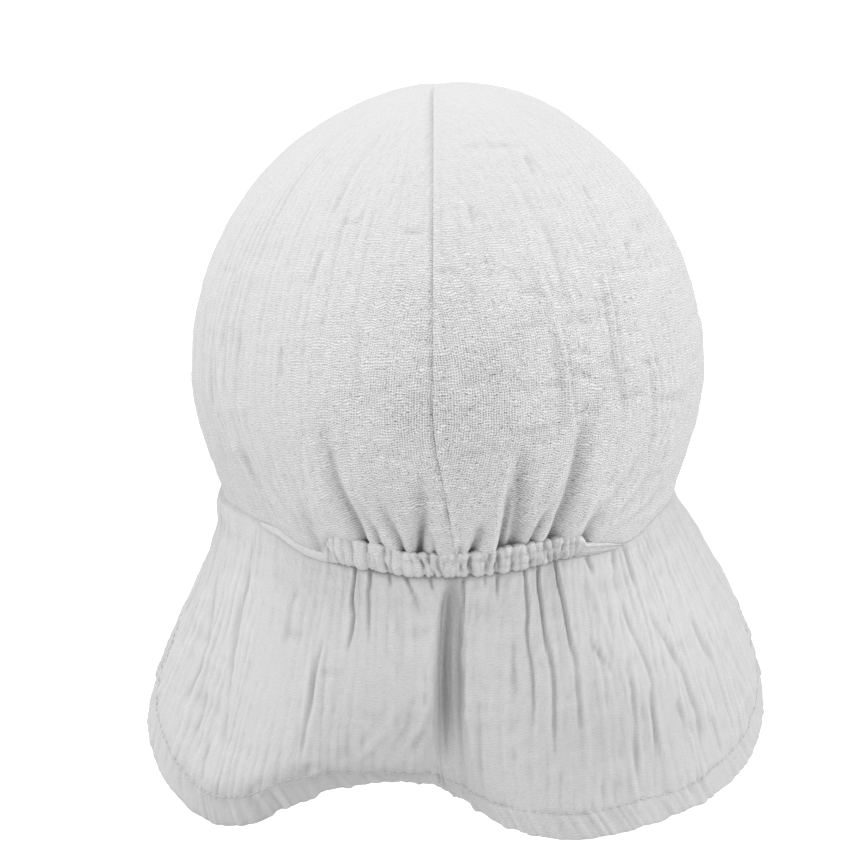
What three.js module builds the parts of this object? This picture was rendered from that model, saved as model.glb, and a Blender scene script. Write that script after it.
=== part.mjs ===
import * as THREE from "three";

// A toddler's sun cap of white double gauze, filled out as a head fills it: a crown of four gores,
// an elastic casing at the nape, a flared neck flap with a hem, and a soft peak.
// Millimetres, +Z up. The peak points along -Y and the nape faces +Y. The origin is inside the top
// of the crown, where the head carries the cap.
// A turn is an angle about the Z axis in degrees: 0 at the centre of the nape, positive towards the
// wearer's right. Across is a distance from the centre plane, positive the same way.

const WALL = 1.4; // double gauze, with its crinkle
const SEAM_GAP = 0.3; // between two pieces that are sewn together
const RAD = Math.PI / 180;

// The crown is widest at its equator, and domed above it.
const CROWN = { halfWidth: 84.3, back: 92, front: 90, rise: 95, tipRadius: 1.1 };
const EQUATOR_Z = WALL - CROWN.rise;
const GORES_MEET = { across: -4.8, y: 0 }; // where the four gores' tips meet, a little off centre
const RIM = { halfWidth: 73.5, back: 68, front: 84 };
const SKIRT_TURN_IN = 0.35; // share of an S in the way the crown narrows from its equator to its rim

// Height of the line where the crown's edge is sewn to the flap and to the peak.
const RIM_HEIGHTS = [
  { turn: -180, z: -108 },
  { turn: -160, z: -112.5 },
  { turn: -140, z: -121 },
  { turn: -120, z: -129.5 },
  { turn: -100, z: -135 },
  { turn: -85, z: -136.6 },
  { turn: -70, z: -136.8 },
  { turn: -60, z: -138 },
  { turn: -50, z: -141 },
  { turn: -40, z: -145.6 },
  { turn: -30, z: -147.8 },
  { turn: -15, z: -150 },
  { turn: 0, z: -150.6 },
  { turn: 12, z: -150 },
  { turn: 22, z: -148.6 },
  { turn: 32, z: -146.4 },
  { turn: 45, z: -145.4 },
  { turn: 57, z: -143.8 },
  { turn: 68, z: -139.4 },
  { turn: 80, z: -137 },
  { turn: 100, z: -135 },
  { turn: 120, z: -129.5 },
  { turn: 140, z: -121 },
  { turn: 160, z: -112.5 },
  { turn: 180, z: -108 },
];

// The elastic casing stands on that line. Beyond the elastic's ends it thins to a rolled seam.
const CASING_HEIGHTS = [
  { turn: -58, height: 0 },
  { turn: -55, height: 1.4 },
  { turn: -48, height: 3.6 },
  { turn: -38, height: 3.4 },
  { turn: -35.5, height: 10.6 },
  { turn: -25, height: 11 },
  { turn: -12, height: 10 },
  { turn: 0, height: 9 },
  { turn: 14, height: 10.2 },
  { turn: 28, height: 9.6 },
  { turn: 39, height: 9 },
  { turn: 41.5, height: 2 },
  { turn: 50, height: 1.2 },
  { turn: 53, height: 0 },
];
const CASING = { bulge: 1.5, ruffle: 1.3, rufflePerGap: 0.34, wall: 2, from: -56.8, to: 51.6 };
const ROLLED_SEAM_STEPS = [-51.5, -44.7, -41.3, 46]; // turns between the casing's ends and its tips

// Turns of the creases that the elastic draws into the casing.
const CREASES = [
  -35.5, -31.5, -28, -24.6, -21.5, -18.6, -15.6, -12.9, -8.2, -5, -2.4, 1.3, 6.4, 9.6, 13, 15.6,
  18.6, 21.4, 24, 27.2, 30.8, 33.4, 36, 38, 40,
];

// Gathers that run up the crown from the casing. Turns at their foot and at their upper end.
const GATHERS = [
  { foot: -31.5, top: -38, topZ: -124, depth: 1.6, width: 2.6, topWidth: 6 },
  { foot: -24.6, top: -28.5, topZ: -117, depth: 2.8, width: 2.6, topWidth: 5 },
  { foot: -18.6, top: -27, topZ: -103, depth: 3.9, width: 2.8, topWidth: 6 },
  { foot: -12.9, top: -16.5, topZ: -127, depth: 2.4, width: 2.2, topWidth: 4 },
  { foot: -8.2, top: -6.5, topZ: -112, depth: 2.8, width: 2.6, topWidth: 6 },
  { foot: 6.4, top: 6, topZ: -133, depth: 1.8, width: 2, topWidth: 3 },
  { foot: 15.6, top: 15, topZ: -103, depth: 3.3, width: 2.8, topWidth: 7 },
  { foot: 24, top: 26.5, topZ: -122, depth: 2.4, width: 2.2, topWidth: 4 },
  { foot: 31.5, top: 31, topZ: -99, depth: 4.3, width: 3.2, topWidth: 7 },
  { foot: 38.6, top: 40, topZ: -126, depth: 2.2, width: 2.4, topWidth: 5 },
];
// The gathered cloth swells above the casing.
const PUFF = { depth: 3, reach: 24, fullTurn: 36, endTurn: 58 };

// The centre back seam runs straight down and is drawn to the right at the casing.
const BACK_SEAM = [
  { z: 0, turn: -3 },
  { z: EQUATOR_Z, turn: -3.1 },
  { z: -106, turn: -2.3 },
  { z: -124, turn: 0 },
  { z: -144, turn: 2 },
  { z: -155, turn: 2 },
];
const SEAM_DRAWS = 25; // the turn over which the cloth beside it goes with it
// The cloth sinks into its seams, but not where they all meet. The right back gore laps the left.
const SEAM_DIP = {
  pressed: 1.2,
  pressedWidth: 3,
  lapped: 0.3,
  lappedWidth: 1.4,
  side: 0.9,
  sideWidth: 4,
  tipReach: 14,
};

// Soft dents of the crown, where the cloth sinks between its seams.
const DENTS = [
  { across: -36, y: -14, z: -8, depth: 2, reach: 30 },
  { across: -66, y: -8, z: -38, depth: 0.6, reach: 26 },
  { across: 40, y: -8, z: -11, depth: 0.8, reach: 10 },
  { across: 52, y: -8, z: -21, depth: 1.3, reach: 16 },
  { across: 67, y: -8, z: -42, depth: 1, reach: 24 },
];

// Strips of the neck flap from the wearer's left to right. The turn is where a strip is sewn on;
// the strip passes through its middle point and ends at its hem point.
const FLAP_STRIPS = [
  { turn: -118, midAcross: -69.5, midY: -38, hemAcross: -74, hemY: -41, hemZ: -151 },
  { turn: -105, midAcross: -77.5, midY: -24, hemAcross: -88, hemY: -29, hemZ: -179.5 },
  { turn: -90, midAcross: -79.5, midY: 0, hemAcross: -98, hemY: 0, hemZ: -202 },
  { turn: -75, midAcross: -78.5, midY: 22, hemAcross: -97.4, hemY: 28, hemZ: -216 },
  { turn: -60, midAcross: -71.5, midY: 46, hemAcross: -86.2, hemY: 56, hemZ: -228 },
  { turn: -47, midAcross: -60.5, midY: 66, hemAcross: -71.5, hemY: 76, hemZ: -230 },
  { turn: -36, midAcross: -47, midY: 78, hemAcross: -51.5, hemY: 83, hemZ: -222.6 },
  { turn: -24, midAcross: -30, midY: 84, hemAcross: -31, hemY: 77, hemZ: -216 },
  { turn: -12, midAcross: -14, midY: 84, hemAcross: -14.5, hemY: 71, hemZ: -216.8 },
  { turn: -5, midAcross: -6, midY: 80, hemAcross: -7.8, hemY: 67, hemZ: -218.6 },
  { turn: -1.5, midAcross: -2.8, midY: 71, hemAcross: -3.5, hemY: 62.5, hemZ: -220.7 },
  { turn: 0.8, midAcross: -1.3, midY: 61, hemAcross: 0, hemY: 58, hemZ: -222.4 },
  { turn: 4, midAcross: 2.8, midY: 60.5, hemAcross: 4, hemY: 60.5, hemZ: -224 },
  { turn: 6.5, midAcross: 6.5, midY: 72, hemAcross: 8, hemY: 69.5, hemZ: -225.2 },
  { turn: 11, midAcross: 12.5, midY: 83, hemAcross: 15, hemY: 83, hemZ: -227.2 },
  { turn: 22, midAcross: 26, midY: 88, hemAcross: 27.5, hemY: 97, hemZ: -227.7 },
  { turn: 34, midAcross: 42, midY: 86, hemAcross: 45, hemY: 101, hemZ: -227.5 },
  { turn: 47, midAcross: 60, midY: 75, hemAcross: 66, hemY: 91, hemZ: -225.6 },
  { turn: 60, midAcross: 76, midY: 56, hemAcross: 85, hemY: 68.5, hemZ: -222.2 },
  { turn: 74, midAcross: 86.5, midY: 29, hemAcross: 99.6, hemY: 35.5, hemZ: -216 },
  { turn: 90, midAcross: 90.5, midY: 1, hemAcross: 105, hemY: 3, hemZ: -203.5 },
  { turn: 105, midAcross: 85.8, midY: -24, hemAcross: 98.5, hemY: -29, hemZ: -182 },
  { turn: 118, midAcross: 72.5, midY: -39, hemAcross: 79, hemY: -43, hemZ: -152.5 },
];

// Folds that hang in the flap between the casing and the hem. Turns where they start and would
// meet the hem, and the share of the flap's length over which each is open.
const FLAP_FOLDS = [
  { turn: -42, hemTurn: -41, from: 0.25, to: 0.95, depth: 1.2, width: 3.2 },
  { turn: -27, hemTurn: -26, from: 0, to: 0.4, depth: 2.4, width: 2.6 },
  { turn: -22, hemTurn: -21, from: 0, to: 0.34, depth: 1.6, width: 2.6 },
  { turn: 14.5, hemTurn: 14.5, from: 0, to: 0.2, depth: 1.4, width: 2.6 },
  { turn: 23.5, hemTurn: 23, from: 0, to: 0.8, depth: 1.9, width: 2.8 },
  { turn: 27.5, hemTurn: 29, from: 0, to: 0.85, depth: 1.8, width: 2.8 },
  { turn: 33.5, hemTurn: 34, from: 0, to: 0.9, depth: 2.5, width: 3 },
  { turn: 42, hemTurn: 43, from: 0, to: 0.6, depth: 1.6, width: 3.2 },
  { turn: 50, hemTurn: 51, from: 0.05, to: 0.9, depth: 1.5, width: 3.4 },
  { turn: 59, hemTurn: 61, from: 0.25, to: 0.85, depth: 1.4, width: 3.4 },
];
const HEM = { height: 8, swell: 0.45 }; // the turned-up edge is a little thicker
const COLUMNS_PER_STRIP = 4;

// The peak is sewn under the front of the crown.
const PEAK = { halfTurn: 60, depth: 46, thickness: 2.4, slope: 22, droop: 10, spread: 0.45, taper: 2.3 };

// Places and directions.

const clamp = (value, from, to) => Math.min(Math.max(value, from), to);

// A unit vector that points away from the Z axis at a turn.
function outward(turn) {
  return new THREE.Vector3(-Math.sin(turn * RAD), Math.cos(turn * RAD), 0);
}

function ellipseRadius(turn, shape) {
  const depth = Math.cos(turn * RAD) > 0 ? shape.back : shape.front;
  return 1 / Math.hypot(Math.sin(turn * RAD) / shape.halfWidth, Math.cos(turn * RAD) / depth);
}

// The value of one column of a table, straight between its rows.
function straight(rows, key, at, column) {
  const last = rows.length - 1;
  const sign = rows[last][key] > rows[0][key] ? 1 : -1;
  if (sign * (at - rows[0][key]) <= 0) return rows[0][column];
  if (sign * (at - rows[last][key]) >= 0) return rows[last][column];
  const i = rows.findIndex((row, n) => n > 0 && sign * (row[key] - at) >= 0);
  const share = (at - rows[i - 1][key]) / (rows[i][key] - rows[i - 1][key]);
  return rows[i - 1][column] + share * (rows[i][column] - rows[i - 1][column]);
}

// The value of one column at a row number that may be a fraction, on a smooth curve.
function smooth(rows, place, column) {
  const i = Math.min(Math.floor(place), rows.length - 2);
  const t = place - i;
  const at = (n) => rows[Math.min(Math.max(n, 0), rows.length - 1)][column];
  const [before, start, end, after] = [at(i - 1), at(i), at(i + 1), at(i + 2)];
  const slopeIn = (end - before) / 2;
  const slopeOut = (after - start) / 2;
  const drop = end - start;
  return start + t * (slopeIn + t * (3 * drop - 2 * slopeIn - slopeOut + t * (slopeIn + slopeOut - 2 * drop)));
}

// The row number, with its fraction, at which a column that only grows has a value.
function placeOf(rows, key, at) {
  const i = Math.max(rows.findIndex((row, n) => n > 0 && row[key] >= at), 1);
  return i - 1 + clamp((at - rows[i - 1][key]) / (rows[i][key] - rows[i - 1][key]), 0, 1);
}

const hump = (x) => Math.exp(-x * x);
const rimZ = (turn) => smooth(RIM_HEIGHTS, placeOf(RIM_HEIGHTS, "turn", turn), "z");
const casingHeight = (turn) => straight(CASING_HEIGHTS, "turn", turn, "height");
const casingTopZ = (turn) => rimZ(turn) + casingHeight(turn);
const backSeamTurn = (z) => straight(BACK_SEAM, "z", z, "turn");

// The crown's edge goes round the casing's ends a little wide of them.
function crownEdgeZ(turn) {
  const inside = turn - 0.4 * Math.sign(turn);
  return casingTopZ(inside) + (casingHeight(inside) > 0 ? SEAM_GAP : 0);
}

// A point of the dome at a turn, from 0 where the gores meet to 1 on the equator.
function domePoint(turn, share) {
  const equator = outward(turn).multiplyScalar(ellipseRadius(turn, CROWN));
  const point = new THREE.Vector3(-GORES_MEET.across, GORES_MEET.y, 0).lerp(equator, share);
  const depth = point.y > 0 ? CROWN.back : CROWN.front;
  const flat = Math.min(Math.hypot(point.x / CROWN.halfWidth, point.y / depth), 1);
  point.z = EQUATOR_Z + CROWN.rise * Math.sqrt(1 - flat * flat);
  return point;
}

// A point of the crown below its equator, at a height.
function skirtPoint(turn, z) {
  const widest = ellipseRadius(turn, CROWN);
  const rim = ellipseRadius(turn, RIM);
  const share = (EQUATOR_Z - z) / (EQUATOR_Z - rimZ(turn));
  const turnedIn = (1 - Math.cos(Math.PI * share)) / 2;
  const narrowing = (1 - SKIRT_TURN_IN) * share ** 2 + SKIRT_TURN_IN * turnedIn;
  return outward(turn)
    .multiplyScalar(widest - (widest - rim) * narrowing)
    .setZ(z);
}

// Closed walls.

// The direction of a line of points at one of them.
function directionAt(line, i) {
  const last = line.length - 1;
  if (i > 0 && i < last) return line[i + 1].clone().sub(line[i - 1]);
  const step = i === 0 ? 1 : -1;
  const [end, next, after] = [line[i], line[i + step], line[i + 2 * step]];
  const inward = end.clone().multiplyScalar(-3).addScaledVector(next, 4).sub(after);
  return i === 0 ? inward : inward.negate();
}

// Unit normals of a grid of points, on the side that faces out.
function gridNormals(points) {
  return points.map((row, r) =>
    row.map((_, c) => {
      const down = directionAt(points.map((line) => line[c]), r);
      return down.cross(directionAt(row, c)).normalize();
    }),
  );
}

// A closed wall between two grids of points of one size: the outside and the inside.
function wallGeometry(outside, inside) {
  const rows = outside.length;
  const columns = outside[0].length;
  const positions = [...outside.flat(), ...inside.flat()].flatMap((p) => [p.x, p.y, p.z]);
  const out = (r, c) => r * columns + c;
  const inn = (r, c) => rows * columns + r * columns + c;
  const faces = [];
  const quad = (a, b, c, d) => faces.push(a, b, c, a, c, d);
  for (let r = 0; r + 1 < rows; r++) {
    for (let c = 0; c + 1 < columns; c++) {
      quad(out(r, c), out(r + 1, c), out(r + 1, c + 1), out(r, c + 1));
      quad(inn(r, c), inn(r, c + 1), inn(r + 1, c + 1), inn(r + 1, c));
    }
    quad(out(r, 0), inn(r, 0), inn(r + 1, 0), out(r + 1, 0));
    quad(out(r, columns - 1), out(r + 1, columns - 1), inn(r + 1, columns - 1), inn(r, columns - 1));
  }
  for (let c = 0; c + 1 < columns; c++) {
    quad(out(0, c), out(0, c + 1), inn(0, c + 1), inn(0, c));
    quad(out(rows - 1, c), inn(rows - 1, c), inn(rows - 1, c + 1), out(rows - 1, c + 1));
  }
  return new THREE.BufferGeometry()
    .setAttribute("position", new THREE.Float32BufferAttribute(positions, 3))
    .setIndex(faces);
}

// A wall that follows a grid of points. The relief says how far its outside stands out at a row and
// column, and the thickness how far the inside lies below that.
function clothGeometry(points, relief, thickness = () => WALL) {
  const normals = gridNormals(points);
  const moved = (distance) =>
    points.map((row, r) => row.map((p, c) => p.clone().addScaledVector(normals[r][c], distance(r, c))));
  return wallGeometry(
    moved((r, c) => relief(r, c)),
    moved((r, c) => relief(r, c) - thickness(r, c)),
  );
}

// The stops in order, with even steps put between them that are no longer than each stretch allows.
function stepsThrough(stretches) {
  return stretches.slice(1).reduce(
    (steps, { to, step }) => {
      const start = steps.at(-1);
      const count = Math.max(Math.round((to - start) / step), 1);
      return steps.concat(Array.from({ length: count }, (_, i) => start + ((to - start) * (i + 1)) / count));
    },
    [stretches[0].to],
  );
}

// The crown's four gores.

function gatherRelief(turn, z, radius) {
  const foot = casingTopZ(turn);
  const folds = GATHERS.map((g) => {
    const share = (z - foot) / (g.topZ - foot);
    if (share >= 1) return 0;
    const distance = (turn - g.foot - (g.top - g.foot) * share) * RAD * radius;
    return g.depth * hump(distance / (g.width + (g.topWidth - g.width) * share)) * (1 - share * share) ** 2;
  });
  const up = clamp((z - foot) / PUFF.reach, 0, 1) ** 0.7;
  const fade = clamp((PUFF.endTurn - Math.abs(turn)) / (PUFF.endTurn - PUFF.fullTurn), 0, 1);
  const open = clamp((z - foot) / 3, 0.45, 1); // the stitching holds the cloth flat
  return PUFF.depth * 4 * up * (1 - up) * fade - open * folds.reduce((sum, depth) => sum + depth, 0);
}

function goreRelief(gore, turn, point) {
  const { x, y, z } = point;
  const radius = Math.hypot(x, y);
  const atTip = Math.min(Math.hypot(x + GORES_MEET.across, y - GORES_MEET.y) / SEAM_DIP.tipReach, 1);
  const dip = (seamTurn, depth, width) => atTip * depth * hump(((turn - seamTurn) * RAD * radius) / width);
  let relief = -dip(Math.sign(turn) * 90, SEAM_DIP.side, SEAM_DIP.sideWidth);
  for (const dent of DENTS) {
    relief -= dent.depth * hump(Math.hypot(-x - dent.across, y - dent.y, z - dent.z) / dent.reach);
  }
  if (!gore.back) return relief - dip(Math.sign(turn) * 180, SEAM_DIP.side, SEAM_DIP.sideWidth);
  const seam = backSeamTurn(z);
  relief -= gore.lapped
    ? dip(seam, SEAM_DIP.lapped, SEAM_DIP.lappedWidth)
    : dip(seam, SEAM_DIP.pressed, SEAM_DIP.pressedWidth);
  return z < EQUATOR_Z ? relief + gatherRelief(turn, z, radius) : relief;
}

// A gore's columns hold their turn all the way up, but for those near the centre back seam.
function goreGeometry(gore) {
  const seamFoot = backSeamTurn(crownEdgeZ(0));
  const columns = stepsThrough(gore.stretches.map((stretch) => ({ to: seamFoot, ...stretch })));
  const [from, to] = [columns[0], columns.at(-1)];
  const turnAt = (column, z, radius) => {
    const inset = SEAM_GAP / 2 / radius / RAD;
    const drawn = (backSeamTurn(z) - seamFoot) * Math.max(0, 1 - Math.abs(column - seamFoot) / SEAM_DRAWS);
    const fromMiddle = (2 * (column - from)) / (to - from) - 1;
    return column + (gore.back ? drawn : 0) - inset * fromMiddle;
  };
  const turns = [];
  const points = [];
  for (let r = 0; r <= GORE_ROWS.dome; r++) {
    const share = Math.max(Math.sin((Math.PI / 2) * (r / GORE_ROWS.dome)), CROWN.tipRadius / CROWN.halfWidth);
    turns.push(columns.map((column) => turnAt(column, 0, share * CROWN.halfWidth)));
    points.push(turns.at(-1).map((turn) => domePoint(turn, share)));
  }
  for (let r = 1; r <= GORE_ROWS.skirt; r++) {
    const heightAt = (turn) => EQUATOR_Z + (r / GORE_ROWS.skirt) * (crownEdgeZ(turn) - EQUATOR_Z);
    turns.push(columns.map((column) => turnAt(column, heightAt(column), RIM.halfWidth)));
    points.push(turns.at(-1).map((turn) => skirtPoint(turn, heightAt(turn))));
  }
  return clothGeometry(points, (r, c) => goreRelief(gore, turns[r][c], points[r][c]));
}

// The casing that holds the elastic at the nape.

function ruffle(turn) {
  const i = CREASES.findIndex((crease) => crease > turn);
  if (i <= 0) return 0;
  const gap = CREASES[i] - CREASES[i - 1];
  const height = Math.min(CASING.ruffle, CASING.rufflePerGap * gap);
  return height * Math.sqrt(Math.sin((Math.PI * (turn - CREASES[i - 1])) / gap));
}

function casingGeometry() {
  const puffs = CREASES.slice(1).map((crease, i) => (crease + CREASES[i]) / 2);
  const turns = [...CASING_HEIGHTS.map((row) => row.turn), ...CREASES, ...puffs, ...ROLLED_SEAM_STEPS]
    .filter((turn) => turn > CASING.from && turn < CASING.to)
    .concat(CASING.from, CASING.to)
    .sort((a, b) => a - b)
    .filter((turn, i, all) => i === 0 || turn - all[i - 1] > 0.3);
  const levels = [0, 0.18, 0.5, 0.82, 1];
  const points = levels.map((level) =>
    turns.map((turn) => skirtPoint(turn, rimZ(turn) + casingHeight(turn) * (1 - level))),
  );
  const relief = (r, c) => {
    const full = Math.min(casingHeight(turns[c]) / 8, 1);
    const round = Math.sin(Math.PI * levels[r]) ** 0.6;
    return 0.2 + full * round * (CASING.bulge + ruffle(turns[c]));
  };
  return clothGeometry(points, relief, (r, c) => CASING.wall - 0.6 + relief(r, c));
}

// The neck flap.

function flapPoint(place, share) {
  const turn = smooth(FLAP_STRIPS, place, "turn");
  const top = outward(turn)
    .multiplyScalar(ellipseRadius(turn, RIM))
    .setZ(rimZ(turn) - SEAM_GAP);
  const hemZ = smooth(FLAP_STRIPS, place, "hemZ");
  const middle = new THREE.Vector3(
    -smooth(FLAP_STRIPS, place, "midAcross"),
    smooth(FLAP_STRIPS, place, "midY"),
    (top.z + hemZ) / 2,
  );
  const hem = new THREE.Vector3(
    -smooth(FLAP_STRIPS, place, "hemAcross"),
    smooth(FLAP_STRIPS, place, "hemY"),
    hemZ,
  );
  return top
    .multiplyScalar((1 - share) * (1 - 2 * share))
    .addScaledVector(middle, 4 * share * (1 - share))
    .addScaledVector(hem, share * (2 * share - 1));
}

function flapRelief(turn, share, radius) {
  const folds = FLAP_FOLDS.map((fold) => {
    if (share > fold.to) return 0;
    const opening = fold.from > 0 ? clamp((share - fold.from) / 0.15, 0, 1) : clamp(share / 0.1, 0.25, 1);
    const closing = 1 - (clamp(share - fold.from, 0, 1) / (fold.to - fold.from)) ** 2;
    const centre = fold.turn + (fold.hemTurn - fold.turn) * share;
    return fold.depth * opening * closing * hump(((turn - centre) * RAD * radius) / fold.width);
  });
  return -folds.reduce((sum, depth) => sum + depth, 0);
}

function flapGeometry() {
  const columns = (FLAP_STRIPS.length - 1) * COLUMNS_PER_STRIP;
  const places = Array.from({ length: columns + 1 }, (_, i) => i / COLUMNS_PER_STRIP);
  const rows = [0, 0.1, 0.22, 0.36, 0.5, 0.64, 0.78, 0.9];
  const hemShares = places.map((place) => {
    const length = flapPoint(place, 0).distanceTo(flapPoint(place, 1));
    return 1 - HEM.height / length;
  });
  const shareAt = (r, c) => {
    if (r < rows.length) return rows[r] * hemShares[c];
    return hemShares[c] + (r - rows.length) * (1 - hemShares[c]);
  };
  const grid = (at) => Array.from({ length: rows.length + 2 }, (_, r) => places.map((_, c) => at(r, c)));
  const points = grid((r, c) => flapPoint(places[c], shareAt(r, c)));
  const turns = places.map((place) => smooth(FLAP_STRIPS, place, "turn"));
  const hemSwell = (r) => (r >= rows.length ? HEM.swell : 0);
  const relief = (r, c) => {
    const p = points[r][c];
    return hemSwell(r) + flapRelief(turns[c], shareAt(r, c), Math.hypot(p.x, p.y));
  };
  return clothGeometry(points, relief, (r) => WALL + 2 * hemSwell(r));
}

// The peak.

function peakGeometry() {
  const columns = 22;
  const shares = [0, 0.12, 0.35, 0.6, 0.85, 1];
  const point = (c, share) => {
    const aside = (2 * c) / columns - 1;
    const turn = 180 + aside * PEAK.halfTurn;
    const root = outward(turn)
      .multiplyScalar(ellipseRadius(turn, RIM) - WALL)
      .setZ(rimZ(turn > 180 ? turn - 360 : turn) - SEAM_GAP - PEAK.thickness);
    const depth = 3 + (PEAK.depth - 3) * (1 - Math.abs(aside) ** PEAK.taper);
    const away = new THREE.Vector3(0, -1, 0).lerp(outward(turn), PEAK.spread).normalize();
    const slope = (PEAK.slope + PEAK.droop * share) * RAD;
    return root
      .addScaledVector(away, depth * share * Math.cos(slope))
      .add(new THREE.Vector3(0, 0, -depth * share * Math.sin(slope)));
  };
  const under = shares.map((share) => Array.from({ length: columns + 1 }, (_, c) => point(c, share)));
  const top = under.map((row) => row.map((p) => p.clone().setZ(p.z + PEAK.thickness)));
  return wallGeometry(top, under);
}

// The gores' columns are close together where the cloth is gathered. A stretch without an end goes
// to the centre back seam.
const GORES = [
  {
    name: "crown_back_left",
    back: true,
    stretches: [
      { to: -90 },
      { to: -58.4, step: 6.5 },
      { to: -55.4, step: 4 },
      { to: -48.4, step: 3.5 },
      { to: -38.4, step: 3.4 },
      { to: -35.9, step: 3 },
      { step: 2 },
    ],
  },
  {
    name: "crown_back_right",
    back: true,
    lapped: true,
    stretches: [
      {},
      { to: 39.4, step: 2 },
      { to: 41.9, step: 3 },
      { to: 50.4, step: 4.3 },
      { to: 53.4, step: 3.5 },
      { to: 90, step: 6.5 },
    ],
  },
  { name: "crown_front_right", stretches: [{ to: 90 }, { to: 180, step: 7.5 }] },
  { name: "crown_front_left", stretches: [{ to: -180 }, { to: -90, step: 7.5 }] },
];
const GORE_ROWS = { dome: 9, skirt: 8 };

const cap = new THREE.Group();

function addPiece(name, geometry, color, roughness) {
  const material = new THREE.MeshStandardMaterial({ color, roughness, metalness: 0 });
  const mesh = new THREE.Mesh(geometry, material);
  mesh.name = name;
  cap.add(mesh);
}

for (const gore of GORES) addPiece(gore.name, goreGeometry(gore), 0xececec, 0.9);
addPiece("nape_casing", casingGeometry(), 0xe6e6e6, 0.9);
addPiece("neck_flap", flapGeometry(), 0xe8e8e8, 0.92);
addPiece("peak", peakGeometry(), 0xececec, 0.88);

export default cap;
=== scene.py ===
"""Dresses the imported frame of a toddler's sun cap: crinkled double gauze, seams, a ruffled
elastic casing, a turned-up hem, a soft peak and the stitching.

Lengths are millimetres until a mesh is made. A turn is an angle about the Z axis in degrees: 0 at
the centre of the nape, positive towards the wearer's right, which is at -X.
"""

import math

import bmesh
import bpy
import numpy as np
from mathutils import Matrix, Vector


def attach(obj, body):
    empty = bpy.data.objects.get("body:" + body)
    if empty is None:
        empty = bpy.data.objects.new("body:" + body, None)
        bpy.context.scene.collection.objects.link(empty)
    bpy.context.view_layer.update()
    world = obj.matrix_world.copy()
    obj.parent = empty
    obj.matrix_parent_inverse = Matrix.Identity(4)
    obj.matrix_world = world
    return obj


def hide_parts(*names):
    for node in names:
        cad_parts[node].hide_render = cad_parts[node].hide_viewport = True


bl_info = {
    "name": "Sun Cap",
    "version": (1, 0, 0),
    "blender": (4, 5, 0),
    "location": "View3D > Sidebar > Sun Cap",
    "description": "Dresses a sun cap in crinkled double gauze, piece by piece",
    "category": "Object",
}

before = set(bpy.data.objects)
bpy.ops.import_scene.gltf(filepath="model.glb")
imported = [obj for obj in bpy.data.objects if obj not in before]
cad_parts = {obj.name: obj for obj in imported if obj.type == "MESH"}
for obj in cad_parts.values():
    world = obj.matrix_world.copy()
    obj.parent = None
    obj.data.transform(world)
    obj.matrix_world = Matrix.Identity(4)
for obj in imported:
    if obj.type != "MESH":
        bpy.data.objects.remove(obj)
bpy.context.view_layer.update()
MM = 0.001

# Shapes that the solids share.

SOLID_WALL = 1.4
SEAM_GAP = 0.3
CROWN = {"half_width": 84.3, "back": 92.0, "front": 90.0}
CROWN_RISE = 95.0
EQUATOR_Z = SOLID_WALL - CROWN_RISE
GORES_MEET = np.array([4.8, 0.0])
RIM = {"half_width": 73.5, "back": 68.0, "front": 84.0}
SKIRT_TURN_IN = 0.35  # share of an S in the way the crown narrows to its rim

# Turns and heights of the line where the crown is sewn to the flap and the peak.
RIM_HEIGHTS = np.array(
    [
        (-180, -108), (-160, -112.5), (-140, -121), (-120, -129.5), (-100, -135), (-85, -136.6),
        (-70, -136.8), (-60, -138), (-50, -141), (-40, -145.6), (-30, -147.8), (-15, -150),
        (0, -150.6), (12, -150), (22, -148.6), (32, -146.4), (45, -145.4), (57, -143.8),
        (68, -139.4), (80, -137), (100, -135), (120, -129.5), (140, -121), (160, -112.5),
        (180, -108),
    ]
)

# Turns and heights of the elastic casing, which thins to a rolled seam beyond the elastic's ends.
CASING_HEIGHTS = np.array(
    [
        (-58, 0), (-55, 1.4), (-48, 3.6), (-33.2, 3.2), (-31.2, 9.6), (-28.6, 11.8), (-24, 11.8),
        (-21, 11.2), (-15.7, 11.2), (-11.5, 9.7), (0, 9.7), (8, 10.1), (16, 10.8), (26, 10.2),
        (31, 9.5), (33.6, 9.4), (35.4, 7.6), (37.2, 5.0), (41, 4.4), (45, 3.2), (49, 1.4), (53, 0),
    ]
)

# Creases that the elastic draws into the casing: turn at its top and at its foot, and strength.
CREASES = np.array(
    [
        (-31.2, -32.4, 0.7), (-28.9, -29.6, 0.5), (-26.3, -27.7, 0.4), (-24.2, -25.0, 0.9),
        (-20.4, -21.3, 1.0), (-18.4, -19.0, 0.3), (-15.5, -16.3, 0.95), (-14.2, -14.8, 0.6),
        (-11.4, -11.9, 0.5), (-9.4, -9.0, 0.3), (-7.3, -6.0, 0.8), (-5.0, -3.8, 0.6),
        (-2.9, -1.7, 0.8), (0.0, 0.4, 0.3), (1.8, 1.9, 0.5), (3.7, 3.3, 0.4), (5.5, 5.9, 1.0),
        (7.9, 8.8, 0.3), (10.4, 10.0, 0.7), (12.4, 12.9, 0.9), (15.6, 17.0, 1.0), (17.6, 19.0, 0.3),
        (19.4, 22.2, 0.8), (22.0, 24.2, 0.4), (24.5, 27.0, 0.7), (26.2, 28.7, 1.0),
        (29.6, 30.2, 0.7), (31.2, 32.8, 0.6), (32.8, 34.6, 0.6),
    ]
)
CREASE_REACH = (0.38, 0.44)  # at no strength, and what full strength adds
SHORT_CREASES = 70  # small creases strewn between them
# The casing's turns, and how many points lie along it and round it.
CASING_SPAN, CASING_POINTS = (-57, 52), (900, 37)
# Fullness of the crown over the casing: how far it stands out, up to what height and at what turns.
PUFF = {"depth": 3.0, "reach": 36.0, "full_turn": 36.0, "end_turn": 58.0}

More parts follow.
